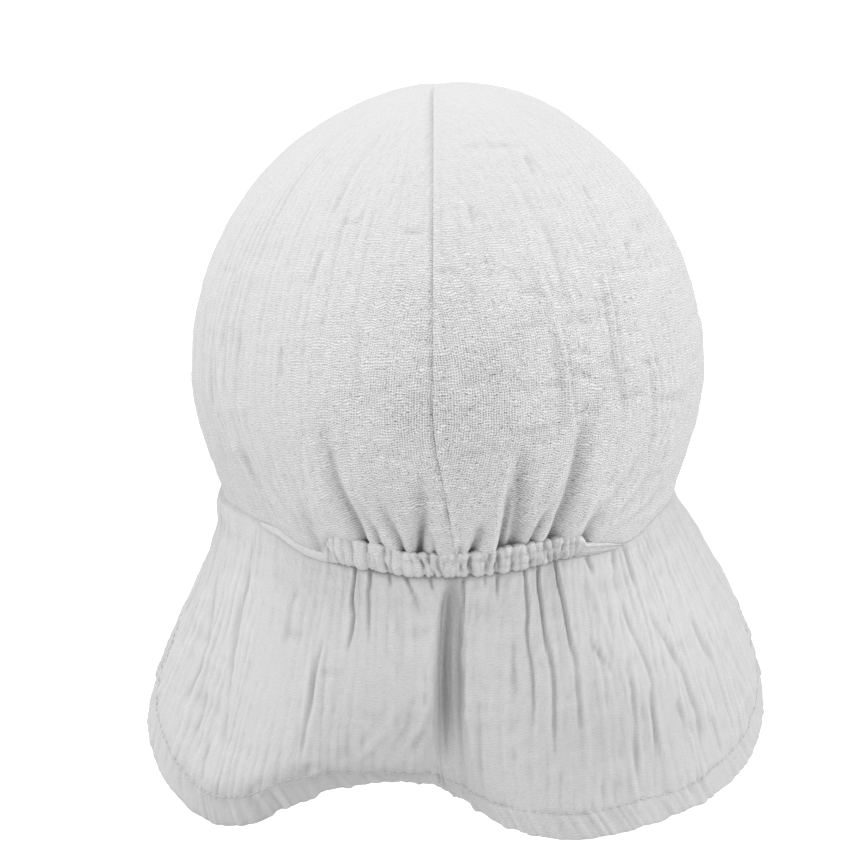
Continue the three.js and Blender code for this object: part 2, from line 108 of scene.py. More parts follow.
# How far the crown's lower edge stands out, by its height over the casing's upper edge: it meets the
# casing's face there, and tucks in behind it.
FOOT_LIFT = np.array([(-4, -1.4), (-1.6, -0.6), (-0.5, 1.1), (0.8, 1.3), (7, 0)])

# Heights and turns of the centre back seam.
BACK_SEAM = np.array([(0, -3), (EQUATOR_Z, -3.1), (-106, -2.3), (-124, 0), (-144, 2), (-155, 2)])
SEAM_DRAWS = 25.0  # the turn over which the cloth beside it goes with it
SEAM_FOOT = 2.0  # its turn at the casing
# Depth, width and lip of the side seams and the front seam, and the depth of a seam's lip.
PRESSED_SEAM = (0.9, 3.2, 0.7)
LIP_DEPTH = 0.55
SEAMS_FADE = 14  # distance from the gores' tips within which their seams grow shallow
# Degrees that the left back gore runs on under the right, and the turn over which it grows to that.
UNDERLAP = (1.6, 8)
# Lengths of the crown's cloth above and below its equator, by which its rows are spaced, and the
# spacing across and along, of the back gores and of the front gores.
DOME_LENGTH, SKIRT_LENGTH = 145, 58
BACK_STEPS, FRONT_STEPS = (0.52, 1.3), (0.8, 1.5)

# Soft dents of the crown: place, depth and reach.
DENTS = [
    (-10, 6, 0, 1.1, 26), (36, -14, -8, 2, 30), (66, -8, -38, 0.6, 26), (-40, -8, -11, 0.8, 10),
    (-52, -8, -21, 1.3, 16), (-67, -8, -42, 1, 24),
]

# Strips of the neck flap: turn where it is sewn on, the middle's and the hem's distance across
# and y, and the hem's height.
FLAP_STRIPS = np.array(
    [
        (-118, -69.5, -38, -74, -41, -151), (-105, -77.5, -24, -88, -29, -179.5),
        (-90, -82.2, 0, -98.4, 0, -202), (-75, -81.1, 22, -98, 28, -216),
        (-60, -71.5, 46, -86.2, 56, -228), (-47, -60.5, 66, -71.5, 76, -229.7),
        (-36, -47, 78, -51.5, 83, -223.2), (-24, -30, 84, -31, 77, -219),
        (-12, -14, 84.5, -14.5, 71, -219.8), (-7, -8.6, 84.5, -9.4, 69, -220),
        (-4, -5.8, 82.5, -5.8, 67.4, -219.8), (-2.4, -3.6, 78, -3.2, 66.4, -220.8),
        (-1.4, -2.8, 71.5, -1.8, 66, -221.4), (-0.5, -3.4, 65, -0.8, 65.8, -221.8),
        (0.4, -2.0, 63, 0.4, 65.8, -222.4), (1.2, -0.4, 66.5, 1.6, 66, -222.9),
        (1.9, 0.9, 69.2, 2.8, 66.6, -223.4), (2.5, 1.9, 70.5, 3.8, 67.2, -223.8),
        (3.1, 2.9, 70.5, 4.8, 67.6, -224.2), (3.8, 3.8, 73, 6.0, 68.6, -224.5),
        (5.2, 4.9, 79, 8.4, 71.5, -225.8), (8, 8.2, 84, 12.4, 78, -227),
        (12, 13.6, 85.5, 17.5, 86, -227.4), (22, 26, 88, 27.5, 97, -227.7),
        (34, 42, 86, 45, 101, -227.5), (47, 60, 75, 66, 91, -225), (60, 76, 56, 85, 68.5, -222.2),
        (74, 87.4, 29, 99.8, 35.5, -216), (90, 91.4, 1, 105, 3, -203.5),
        (105, 85.8, -24, 98.5, -29, -182), (118, 72.5, -39, 79, -43, -152.5),
    ]
)

# The deep fold between the lobes: how many degrees it reaches to either side, the y of the lobes'
# faces, the most that is filled in, and how far it is filled by its share of the way down.
FOLD_HALF_TURN, LOBES_FACE, MOST_FILLED = 11, 84, 30
FOLD_CLOSES = np.array(
    [
        (0, 0), (0.12, 0), (0.3, 0.12), (0.45, 0.22), (0.6, 0.32), (0.72, 0.5), (0.85, 0.8),
        (1, 0.9),
    ]
)

# The peak: its turn either way, sizes, slope and droop in degrees, and how its edge spreads and
# tapers to the sides.
PEAK = {
    "half_turn": 60.0, "depth": 46.0, "thickness": 2.4, "slope": 22.0, "droop": 10.0,
    "spread": 0.45, "taper": 2.3,
}

# Stitched rows of the peak: their distance from its edge.
PEAK_ROWS = (4.0, 10.0, 16.0, 22.0, 28.0, 34.0)

# The camera, and the frame in which fine folds are placed: pixels across and down as seen by it.
CAMERA = {"target": (4.5, 0.0, -114.9), "distance": 2200.0, "elevation": 11.0, "mm_per_pixel": 0.33}
FRAME_PIXELS = (868, 859)

FLAP_ROWS = 52
FLAP_STEP = 0.5  # between columns behind
HEM_THICKNESS = 1.25

# How far the flap swells out under the seam that it hangs from, by turn.
ROOT_HANG = np.array(
    [
        (-118, 0), (-100, 2.2), (-70, 2.2), (-50, 0.6), (-35, 1.0), (35, 1.0), (50, 0.3), (118, 0.3),
    ]
)

# How far the hem curls in, by turn.
HEM_CURL = np.array([(-118, 0.5), (-68, 1.2), (-54, 3.6), (-10, 3.6), (3, 0.6), (118, 0.5)])

# Where the left lobe's hem edge steps up, in pixels across, and how much wider its hem is, about
# which turn and how far round.
HEM_NOTCHES = (273, 322)
WIDER_HEM = (2.2, -38, 13)

# Patches of the back: the middle's pixels across and down, and the reach each way.
PATCHES = {
    "crown_side": (630, 330, 80, 150),
    "taut_crown": (440, 380, 130, 140),
    "open_weave": (460, 410, 150, 150),
    "plain_by_fold": (270, 715, 26, 60),
    "plain_on_lobe": (372, 690, 30, 50),
    # The shaded lobe and the fold's foot are patches of painted shade.
    "shaded_lobe": (605, 735, 85, 75),
    "painted_fold_foot_shade": (445, 705, 8, 28),
}

# The painted shadow of the deep fold: its middle and its width across, and the pixels down between which
# it fades out, and before that, for the lower part, fades in.
UPPER_SHADOW, LOWER_SHADOW = (452.5, 10.5, 640, 590), (457.5, 5.5, 570, 600, 742, 692)
FLAP_WEAVE = (470, 120)  # pixels across: where the flap's weave shows most, and the reach

# Layers of crinkle: the gaps between creases, how far they wander, the length along them over
# which they change, and how broken they are.
LAYERS = {
    "crown_lines": ((3.4, 8.2), 2.2, 30, 0.7),
    "crown_long_lines": ((2.8, 5.4), 0.9, 70, 0.45),
    "crown_fine": ((1.6, 3.4), 1.2, 16, 0.95),
    "crown_puckers": ((4.5, 9.5), 1.3, 26, 0.9),
    "crown_small": ((1.8, 3.6), 0.7, 12, 0.98),
    "flap_lines": ((2.6, 5.0), 1.8, 30, 0.6),
    "flap_fine": ((1.4, 2.6), 1.0, 12, 0.9),
    "flap_puckers": ((4, 9), 1.8, 20, 0.95),
    "hem_dimples": ((1.8, 3.6), 0.6, 30, 0.7),
    "peak_lines": ((2.8, 4.8), 1.5, 30, 0.45),
}

STITCH = (3.0, 2.3, 0.27, 0.1)  # pitch, length, radius, and how far it stands out of the cloth
AROUND = (2, 5)  # rows and columns each way with which the height of a point is compared

# Folds seen from behind. Each is a path in pixels, its depth and its width, each one number or one
# at its start and one at its end, and for some how far the cloth rises on its left and its right.
# A ridge has a depth below zero.
FOLD_MARGIN = 30  # pixels beyond a path's box at which its fold has run out
RISE_ASIDE = 1.7  # widths from a fold's line to the rises beside it
# A fold's depth also paints shade into the cloth's colour.
DEEPEST_SHADE = 2.5  # depth past which a fold grows no darker

# Gathers that run down the crown into the casing.
GATHERS = [
    ([(316, 405), (324, 435), (330, 458), (336, 478), (344, 496), (354, 513), (361, 529), (367, 548)],
     (0.34, 3.02), (3.07, 1.79)),
    ([(326, 425), (334, 450), (342, 476), (354, 493), (366, 510), (381, 540)],
     (-0.39, -0.9), (1.28, 1.02)),
    ([(356, 490), (362, 502), (369, 515), (377, 530), (384, 550)], (0.45, 2.58), (1.15, 1.02)),
    ([(300, 500), (308, 512), (316, 530), (322, 546)], (0.45, 1.12), (2.05, 1.66)),
    ([(316, 470), (323, 490), (333, 510), (347, 530)], (-0.34, -0.56), 1.66),
    ([(376, 490), (383, 505), (392, 523), (400, 540), (404, 556)], (0.34, 2.8), (2.05, 1.15)),
    ([(416, 465), (421, 500), (423, 520), (420, 554)], (0.9, 2.4), 3.1),
    ([(423, 512), (421, 535), (419, 557)], (0.45, 2.46), (1.02, 0.9)),
    ([(433, 528), (435, 557)], (0.22, 2.13), (1.15, 0.9)),
    ([(460, 536), (459, 558)], (0.22, 1.79), (1.15, 0.9)),
    ([(484, 512), (479, 532), (471, 556)], (0.28, 3.43), (1.91, 1.47)),
    ([(511, 478), (508, 497), (506, 515), (503, 530), (499, 554)], (0.56, 3.56), (1.32, 1.17)),
    ([(509, 448), (507, 470), (499, 498), (494, 520), (490, 550)], (-0.43, -1.06), 1.15),
    ([(523, 445), (522, 470), (518, 500), (515, 525), (512, 552)], (1.5, 3.6), 2.9),
    ([(552, 492), (540, 515), (533, 532), (527, 550)], (0.56, 3.04), (2.36, 1.47)),
    ([(574, 425), (573, 445), (565, 466), (556, 482), (543, 502), (532, 522), (525, 546)],
     (-0.56, -1.19), (1.28, 1.02)),
    ([(592, 390), (588, 420), (585, 440), (580, 460), (575, 477), (568, 496), (560, 515), (550, 543)],
     (0.7, 4.09), (2.79, 2.06)),
    ([(602, 470), (594, 488), (581, 512), (567, 530), (557, 547)], (-0.56, -1.06), (1.41, 1.15)),
    ([(606, 495), (596, 510), (586, 525), (582, 547)], (0.43, 2.77), (2.06, 1.47)),
]

# Folds of the crown that run out at both ends.
CROWN_FOLDS = [
    ([(385, 128), (372, 146), (362, 158), (352, 172), (346, 185), (338, 203), (327, 221)],
     (0.3, 0.5), (1.0, 0.8), (0, 0.1)),
    ([(322, 248), (318, 262), (312, 280), (306, 297)], (0.45, 0.4), 0.8),
    ([(330, 157), (320, 172)], 0.4, 1.2),
    ([(298, 235), (288, 262)], -0.4, 1.2),
    ([(242, 258), (238, 275), (233, 300), (228, 322), (225, 350), (224, 372)], 0.5, 0.9),
    ([(220, 268), (238, 272)], 0.4, 0.9),
    ([(240, 330), (237, 400)], (0.5, 0.4), 1.2),
    ([(400, 230), (426, 234)], 0.4, 0.8),
    ([(343, 223), (359, 223)], 0.4, 0.8),
    ([(281, 343), (280, 380)], 0.4, 0.8),
    ([(361, 322), (359, 345), (358, 402)], (0.5, 0.4), 1.3),
    ([(330, 342), (331, 385)], -0.35, 1.2),
    ([(338, 426), (341, 460)], -0.4, 1.2),
    ([(212, 355), (211, 420), (218, 440), (222, 457), (228, 476), (236, 492)], 0.6, 1.1),
    ([(240, 445), (250, 468), (264, 493), (282, 514)], 0.6, 1.0),
    ([(262, 452), (277, 486), (298, 511), (313, 536)], (0.5, 0.8), 0.9),
    ([(243, 248), (237, 280), (233, 313), (229, 340), (228, 380), (235, 417)], (-0.6, -0.5), 0.9),
    ([(223, 295), (218, 340), (220, 380), (227, 413), (237, 447), (250, 473), (267, 500), (283, 520)],
     (-0.6, -0.8), 0.9),
    ([(230, 425), (243, 460), (258, 485), (275, 508), (292, 527)], (-0.5, -0.6), 0.8),
    ([(255, 435), (270, 473), (290, 500), (308, 524), (320, 548)], (-0.7, -0.9), 0.9),
    ([(267, 428), (283, 478), (303, 508), (320, 533)], (-0.5, -0.6), 0.8),
    ([(300, 436), (309, 467), (323, 500), (340, 534)], (-0.6, -0.8), (1.0, 0.9)),
    ([(205, 300), (201, 350), (203, 400), (211, 440)], 0.5, 0.8),
    ([(502, 152), (510, 168), (518, 185), (525, 197), (535, 212), (545, 230), (552, 245), (558, 262)],
     (0.2, 0.4), (1.2, 1.1)),
    ([(548, 236), (553, 247), (558, 262), (562, 280), (567, 297), (574, 316)], (0.3, 0.45), 1.2),
    ([(538, 276), (546, 292), (557, 316)], -0.6, 1.1),
    ([(556, 318), (562, 345), (566, 375), (570, 402), (574, 432)],
     (-1.2, -1.3), (0.9, 0.85), (0, -0.25)),
    ([(525, 153), (536, 174)], 0.7, 1.1),
    ([(584, 184), (593, 202)], 0.5, 1.1),
    ([(627, 238), (633, 260)], 0.7, 1.0),
    ([(632, 218), (643, 234)], 0.5, 1.0),
    ([(468, 205), (474, 226)], 0.4, 1.1),
    ([(470, 280), (476, 326)], 0.4, 1.3),
    ([(603, 256), (606, 285), (612, 312), (618, 355), (624, 380), (628, 402), (629, 427)],
     (-1.0, -1.3), 0.85, (-0.12, -0.2)),
    ([(650, 338), (653, 360), (657, 380), (659, 402), (656, 437), (648, 464)],
     (-1.0, -1.2), 0.85, (-0.12, -0.2)),
    ([(672, 418), (668, 450), (659, 480)], (-0.8, -0.7), 1.0),
    ([(583, 275), (612, 272), (634, 268), (655, 266), (674, 262)], (0.22, 0.3), 0.9),
    ([(436, 270), (458, 270)], 0.4, 0.8),
    ([(476, 263), (497, 260)], 0.3, 0.9),
    ([(478, 230), (520, 225)], (0.35, 0.3), 0.9),
    ([(522, 292), (543, 290)], 0.3, 0.9),
    ([(460, 145), (525, 145)], 0.3, 0.9),
    ([(498, 330), (552, 322)], (0.3, 0.35), 1.0),
    ([(566, 320), (592, 319)], 0.55, 1.8),
    ([(568, 352), (592, 351)], 0.5, 1.8),
    ([(570, 375), (594, 374)], 0.6, 1.8),
    ([(597, 365), (616, 364)], 0.5, 1.6),
    ([(592, 300), (614, 299)], 0.4, 1.6),
    ([(612, 332), (640, 330)], 0.45, 1.6),
    ([(618, 396), (650, 393)], 0.45, 1.6),
    ([(652, 400), (690, 396)], 0.4, 1.6),
    ([(640, 362), (662, 361)], 0.5, 1.1),
    ([(574, 412), (600, 411)], 0.5, 1.8),
    ([(453, 388), (492, 380)], (0.3, 0.35), 1.1),
    ([(513, 393), (540, 388), (567, 383)], 0.5, 1.6),
    ([(458, 410), (497, 405)], 0.3, 1.1),
    ([(508, 435), (545, 429), (577, 420)], 0.5, 1.6),
    ([(518, 447), (552, 441)], 0.3, 1.0),
    ([(458, 458), (502, 450)], 0.3, 1.0),
    ([(636, 448), (616, 476), (592, 504)], -0.6, 0.8),
    ([(651, 458), (633, 486), (606, 512)], -0.6, 0.8),
    ([(664, 470), (646, 498), (616, 521)], -0.6, 0.8),
    ([(676, 478), (664, 500), (640, 522)], -0.5, 0.8),
    ([(643, 455), (625, 480), (602, 505)], (0.6, 0.5), 1.0),
    ([(655, 465), (640, 490), (612, 515)], (0.6, 0.5), 1.0),
    ([(670, 480), (650, 505), (622, 525)], (0.6, 0.5), 1.0),
]

# Folds of the flap that fall from the casing.
FLAP_FALLS = [
    ([(357, 563), (355, 580), (352, 600), (354, 615), (352, 632), (346, 655)],
     (1.66, 0.77), (0.5, 0.61), (0.3, 0.3)),
    ([(371, 566), (370, 583), (368, 592), (369, 620), (370, 648)], (1.22, 0.38), (0.5, 0.68), (0.2, 0)),
    ([(389, 568), (391, 588)], (1.12, 0.48), 0.54),
    ([(404, 572), (410, 588), (417, 600), (418, 613)], (1.2, 0.48), (0.61, 0.68)),
    ([(428, 572), (434, 594)], (1.2, 0.56), 0.54),
    ([(464, 570), (463, 600), (462, 614)], (1.1, 0.8), 0.6),
    ([(468, 575), (468, 650), (469, 790)], (-0.3, -0.7), 1.3),
    ([(484, 572), (485, 590)], (0.8, 0.32), 0.54),
    ([(497, 568), (497, 600)], (1.41, 0.7), 0.54),
    ([(523, 564), (526, 590), (528, 610), (527, 630), (529, 650), (533, 670), (534, 703),
      (533, 730), (531, 755)], (1.28, 0.51), (0.5, 0.75), (0, 0.3)),
    ([(537, 560), (538, 585), (541, 605), (545, 640), (547, 662)],
     (1.86, 0.96), (0.5, 0.61), (0.3, 0.2)),
    ([(553, 556), (557, 580), (562, 600), (567, 625), (571, 655)],
     (1.86, 1.09), (0.5, 0.61), (0.3, 0.3)),
    ([(583, 552), (594, 574)], (1.28, 0.56), 0.61),
    ([(612, 550), (615, 580), (620, 600), (628, 622), (635, 638), (642, 652), (648, 668),
      (652, 685), (653, 720), (655, 740), (656, 792)], (0.64, 0.8), (0.75, 0.82), (0.2, 0)),
]

# Folds of the flap that run out at both ends.
FLAP_FOLDS = [
    ([(325, 635), (318, 660), (314, 680), (311, 700), (307, 720), (303, 745), (300, 768)],
     (0.94, 0.77), (0.83, 0.98), (0, 0.5)),
    ([(297, 588), (291, 603), (288, 625), (284, 648)], (0.59, 0.51), 1.05, (0, 0.2)),
    ([(513, 636), (515, 704)], 0.51, 1.12),
    ([(545, 632), (550, 655), (553, 672), (554, 700), (554, 735), (555, 764)],
     (1.02, 0.64), (0.83, 0.9), (0.3, 0.2)),
    ([(568, 630), (575, 660), (577, 690), (579, 710), (580, 732)],
     (1.08, 0.64), (0.83, 0.9), (0.3, 0.2)),
    ([(583, 563), (592, 590), (600, 610), (610, 640), (619, 658)], -0.59, (0.83, 0.9)),
    ([(588, 637), (600, 655), (612, 671)], 0.77, 0.75, (0, 0.2)),
    ([(624, 662), (632, 690), (635, 720), (637, 784)], (0.85, 0.68), (0.83, 0.9), (0, 0.2)),
    ([(621, 542), (633, 584)], (0.77, 0.68), 0.75, (0, 0.2)),
    ([(642, 600), (650, 615), (660, 633), (670, 650), (680, 668), (690, 695), (696, 710),
      (700, 728), (700, 762)], 0.77, (0.83, 0.9), (0, 0.3)),
    ([(685, 610), (700, 640), (711, 663)], 0.77, 0.75, (0, 0.3)),
    ([(668, 605), (668, 623)], 0.51, 0.68),
    ([(709, 712), (716, 735), (721, 755)], 0.68, 0.75),
    ([(674, 698), (691, 735)], 0.59, 0.75),
    ([(703, 567), (742, 623)], -0.59, 0.75),
    ([(688, 597), (720, 650), (757, 708)], -0.59, 0.75),
    ([(258, 538), (250, 560), (246, 590), (240, 610), (235, 635), (232, 660), (230, 690),
      (226, 720), (222, 762)], (0.94, 0.68), (0.75, 0.9), (0.2, 0.2)),
    ([(222, 557), (213, 605), (210, 630), (205, 655), (200, 672), (190, 690), (179, 717)],
     (0.77, 0.68), (0.75, 0.9), (0, 0.2)),
    ([(207, 688), (203, 715), (191, 737)], 0.59, 0.75),
    ([(210, 738), (203, 760), (200, 782)], 0.59, 0.75),
    ([(318, 671), (347, 671)], 0.51, 0.68),
    ([(283, 633), (314, 633)], 0.34, 0.68),
    ([(393, 707), (384, 730), (364, 750), (351, 762)], (-0.5, -0.6), 1.5, (0, -0.25)),
    ([(427, 700), (423, 720), (409, 740), (398, 758)], (-0.5, -0.6), 1.4, (0, -0.25)),
    ([(428, 731), (420, 740), (410, 750)], (0.45, 0.4), 1.3),
    ([(380, 731), (368, 746), (355, 762)], (-0.25, -0.3), 1.4),
    ([(252, 800), (260, 793), (271, 785)], (-1.0, -0.9), 0.9),
    ([(302, 782), (310, 776), (319, 768)], (-1.0, -0.9), 0.9),
    ([(246, 793), (254, 787), (263, 778)], (0.4, 0.35), 0.9),
    ([(296, 776), (303, 770), (312, 762)], (0.4, 0.35), 0.9),
    ([(412, 700), (408, 722), (396, 744), (384, 758)], (0.25, 0.35), 1.5),
    ([(352, 735), (344, 750), (333, 764)], (0.25, 0.35), 1.5),
    ([(366, 716), (360, 734), (349, 752)], (-0.3, -0.35), 1.5),
    ([(425, 690), (424, 707)], 0.51, 0.68),
    ([(479, 695), (479, 792)], 0.59, 0.9),
]


def hump(x):
    """A smooth hill: 1 at 0, and next to nothing 2 away from it."""
    return np.exp(-x * x)


def ramp(values, start, end):
    """0 before the start and 1 past the end, whichever of the two is the higher."""
    return np.clip((values - start) / (end - start), 0, 1)


def outward(turn):
    """Unit vectors that point away from the Z axis, across and along only."""
    angle = np.radians(turn)
    return np.stack([-np.sin(angle), np.cos(angle)], axis=-1)


def level(turn):
    """Unit vectors that point away from the Z axis, with a height of 0."""
    return np.concatenate([outward(turn), np.zeros(np.shape(turn) + (1,))], axis=-1)


def ellipse_radius(turn, shape):
    across, along = np.sin(np.radians(turn)), np.cos(np.radians(turn))
    depth = np.where(along > 0, shape["back"], shape["front"])
    return 1 / np.hypot(across / shape["half_width"], along / depth)


def smooth(values, place):
    """A smooth curve through values, read at row numbers that may be fractions."""
    i = np.clip(np.floor(place).astype(int), 0, len(values) - 2)
    t = place - i
    before, start, end, after = (values[np.clip(i + n, 0, len(values) - 1)] for n in (-1, 0, 1, 2))
    slope_in, slope_out, drop = (end - before) / 2, (after - start) / 2, end - start
    bend = 3 * drop - 2 * slope_in - slope_out
    return start + t * (slope_in + t * (bend + t * (slope_in + slope_out - 2 * drop)))


def rim_z(turn):
    place = np.interp(turn, RIM_HEIGHTS[:, 0], np.arange(len(RIM_HEIGHTS)))
    return smooth(RIM_HEIGHTS[:, 1], place)


def casing_height(turn):
    return np.interp(turn, *CASING_HEIGHTS.T)


def back_seam_turn(z):
    return np.interp(-z, -BACK_SEAM[:, 0], BACK_SEAM[:, 1])


def dome_points(turn, share):
    """The dome, from share 0 where the gores meet to 1 on the equator."""
    share = np.broadcast_to(share, turn.shape)[..., None]
    equator = outward(turn) * ellipse_radius(turn, CROWN)[..., None]
    flat = GORES_MEET * (1 - share) + equator * share
    depth = np.where(flat[..., 1] > 0, CROWN["back"], CROWN["front"])
    reach = np.hypot(flat[..., 0] / CROWN["half_width"], flat[..., 1] / depth)
    z = EQUATOR_Z + CROWN_RISE * np.sqrt(1 - np.minimum(reach, 1) ** 2)
    return np.concatenate([flat, z[..., None]], axis=-1)


def skirt_points(turn, z):
    """The crown below its equator."""
    widest, rim = ellipse_radius(turn, CROWN), ellipse_radius(turn, RIM)
    share = (EQUATOR_Z - z) / (EQUATOR_Z - rim_z(turn))
    turned_in = (1 - np.cos(np.pi * share)) / 2
    narrowing = (1 - SKIRT_TURN_IN) * share**2 + SKIRT_TURN_IN * turned_in
    radius = widest - (widest - rim) * narrowing
    return np.concatenate([outward(turn) * radius[..., None], z[..., None]], axis=-1)


def seen(points):
    """Where the camera sees points, in pixels across and down."""
    tilt = math.radians(CAMERA["elevation"])
    offset = points - np.array(CAMERA["target"])
    depth = CAMERA["distance"] - offset @ np.array([0, math.cos(tilt), math.sin(tilt)])
    scale = CAMERA["distance"] / depth / CAMERA["mm_per_pixel"]
    down = -(offset @ np.array([0, -math.sin(tilt), math.cos(tilt)]))
    return FRAME_PIXELS[0] / 2 - offset[..., 0] * scale, FRAME_PIXELS[1] / 2 + down * scale


def patch(points, name):
    """1 in the middle of a patch of the back, and 0 away from it and in front."""
    x, y = seen(points)
    middle_x, middle_y, reach_x, reach_y = PATCHES[name]
    return hump((x - middle_x) / reach_x) * hump((y - middle_y) / reach_y) * (points[..., 1] > 0)


# Surfaces of cloth, as grids of points: rows down the cloth and columns across it.


def unit(vectors):
    length = np.linalg.norm(vectors, axis=-1, keepdims=True)
    return vectors / np.maximum(length, 1e-9)


def grid_normals(points):
    down, right = np.gradient(points, axis=0, edge_order=2), np.gradient(points, axis=1, edge_order=2)
    return unit(np.cross(down, right))


def lengths_along(points, axis):
    """Distances along the cloth from its first row or column."""
    steps = np.linalg.norm(np.diff(points, axis=axis), axis=-1)
    total = np.cumsum(steps, axis=axis)
    pad = [(0, 0), (0, 0)]
    pad[axis] = (1, 0)
    return np.pad(total, pad)


def value_noise(x, y, seed):
    """Smooth random values from -1 to 1, with one cell for each unit of x and y."""
    table = np.random.default_rng(seed).uniform(-1, 1, (97, 97))
    x, y = np.broadcast_arrays(x, y)
    i, j = np.floor(x).astype(int), np.floor(y).astype(int)
    s, t = x - i, y - j
    s, t = s * s * (3 - 2 * s), t * t * (3 - 2 * t)
    at = lambda a, b: table[(i + a) % 97, (j + b) % 97]
    low = at(0, 0) + (at(1, 0) - at(0, 0)) * s
    high = at(0, 1) + (at(1, 1) - at(0, 1)) * s
    return low + (high - low) * t


def strips(across, along, seed, layer):
    """Puffed strips of crinkled cloth: 0 in the creases between them and up to 1 in the middle."""
    gaps, wander, reach, broken = LAYERS[layer]
    rng = np.random.default_rng(seed)
    start = across.min() - 3 * gaps[1]
    count = int((across.max() - start) / gaps[0]) + 8
    creases = start + np.cumsum(rng.uniform(*gaps, count))
    moved = across + wander * value_noise(across / (2.5 * gaps[1]), along / reach, seed + 1)
    i = np.clip(np.searchsorted(creases, moved), 1, count - 1)
    t = (moved - creases[i - 1]) / (creases[i] - creases[i - 1])
    puffed = 1 - np.abs(2 * np.clip(t, 0, 1) - 1) ** 2.4
    strength = 1 - broken + broken * value_noise(i * 1.0, along / (0.7 * reach), seed + 2)
    return puffed * strength


def between(ends, place):
    """A value that runs from a fold's start to its end, or is the same all along."""
    start, end = ends if isinstance(ends, tuple) else (ends, ends)
    return start + (end - start) * place


def fold_relief(points, folds, opens=0.2, closes=0.2):
    """How far folds drawn on the camera's view push the cloth out, and how much painted shade their depth
    gives.

    opens and closes are the shares of a fold over which it fades at its start and its end.
    """
    x, y = seen(points)
    total, painted_crease_shade = np.zeros(x.shape), np.zeros(x.shape)
    for path, depths_at_ends, widths_at_ends, *rises in folds:
        path = np.array(path, float)
        (x0, y0), (x1, y1) = path.min(axis=0) - FOLD_MARGIN, path.max(axis=0) + FOLD_MARGIN
        near = (x > x0) & (x < x1) & (y > y0) & (y < y1)
        if not near.any():
            continue
        px, py = x[near], y[near]
        lengths = np.linalg.norm(np.diff(path, axis=0), axis=1)
        whole, before = lengths.sum(), 0.0
        nearest = np.full(px.shape, np.inf)
        signed, place = np.zeros(px.shape), np.zeros(px.shape)
        for a, b, length in zip(path, path[1:], lengths):
            way = (b - a) / length
            along = (px - a[0]) * way[0] + (py - a[1]) * way[1]
            aside = -(px - a[0]) * way[1] + (py - a[1]) * way[0]
            inside = np.clip(along, 0, length)
            distance = np.hypot(along - inside, aside)
            closer = distance < nearest
            nearest = np.where(closer, distance, nearest)
            signed = np.where(closer, aside, signed)
            place = np.where(closer, (before + inside) / whole, place)
            before += length
        fade = np.clip(place / opens, 0, 1) if opens else 1
        fade = fade * np.clip((1 - place) / closes, 0, 1) if closes else fade
        fade = np.power(fade, 0.8)
        away = np.copysign(nearest, signed) * CAMERA["mm_per_pixel"]
        depth, width = between(depths_at_ends, place), between(widths_at_ends, place)
        left, right = rises[0] if rises else (0, 0)
        beside = left * hump(away / width - RISE_ASIDE) + right * hump(away / width + RISE_ASIDE)
        total[near] += fade * (beside - depth * hump(away / width))
        painted_crease_shade[near] += fade * np.clip(depth, 0, DEEPEST_SHADE) * hump(away / width)
    return total, painted_crease_shade


def new_mesh(name, form):
    mesh = bpy.data.meshes.new(name)
    form.to_mesh(mesh)
    form.free()
    return mesh


def new_piece(name, mesh, finish):
    mesh.shade_smooth()
    mesh.materials.append(finish)
    piece = bpy.data.objects.new(name, mesh)
    bpy.context.scene.collection.objects.link(piece)
    return piece


def make_cloth(name, points, wall, finish, across=None, along=None, painted_shade=0.0, stretched=0.0):
    """An object of cloth whose outside follows a grid of points, with its wall inside that."""
    rows, columns = points.shape[:2]
    form = bmesh.new()
    bmesh.ops.create_grid(form, x_segments=columns - 1, y_segments=rows - 1, size=1)
    if len(form.verts) != rows * columns:
        raise RuntimeError(f"{name}: the grid has {len(form.verts)} points, not {rows} x {columns}")
    mesh = new_mesh(name, form)
    # The grid's rows run up, so that its faces look out of the cloth.
    upward = lambda values: np.ascontiguousarray(values[::-1], dtype=np.float32)
    mesh.vertices.foreach_set("co", upward(points * MM).ravel())
    across = lengths_along(points, 1) if across is None else across
    along = lengths_along(points, 0) if along is None else along
    cloth = upward(np.stack([across, -along], axis=-1) * MM).reshape(-1, 2)
    corner = np.empty(len(mesh.loops), dtype=np.int32)
    mesh.loops.foreach_get("vertex_index", corner)
    mesh.uv_layers.new(name="cloth").data.foreach_set("uv", cloth[corner].ravel())
    # The painted shade and the cloth's stretch go onto the mesh as attributes.
    for name_of_share, share in (("painted_shade", painted_shade), ("stretched", stretched)):
        values = upward(np.broadcast_to(share, (rows, columns))).ravel()
        mesh.attributes.new(name_of_share, "FLOAT", "POINT").data.foreach_set("value", values)
    mesh.update()
    piece = new_piece(name, mesh, finish)
    if wall:
        shell = piece.modifiers.new("wall", "SOLIDIFY")
        shell.thickness = wall * MM
        shell.offset = -1
        shell.use_even_offset = False
        shell.use_quality_normals = True
    return piece


def line_across(points, normals, heights, wanted):
    """The line of a cloth along which heights that fall downwards have a wanted value."""
    wanted = wanted[0] if np.ndim(wanted) > 1 else wanted
    picks = np.arange(points.shape[1])
    below = np.clip((heights > wanted).sum(axis=0), 1, len(heights) - 1)
    upper, lower = heights[below - 1, picks], heights[below, picks]
    share = np.clip((upper - wanted) / np.maximum(upper - lower, 1e-6), 0, 1)[:, None]
    blend = lambda values: values[below - 1, picks] * (1 - share) + values[below, picks] * share
    return blend(points), unit(blend(normals))


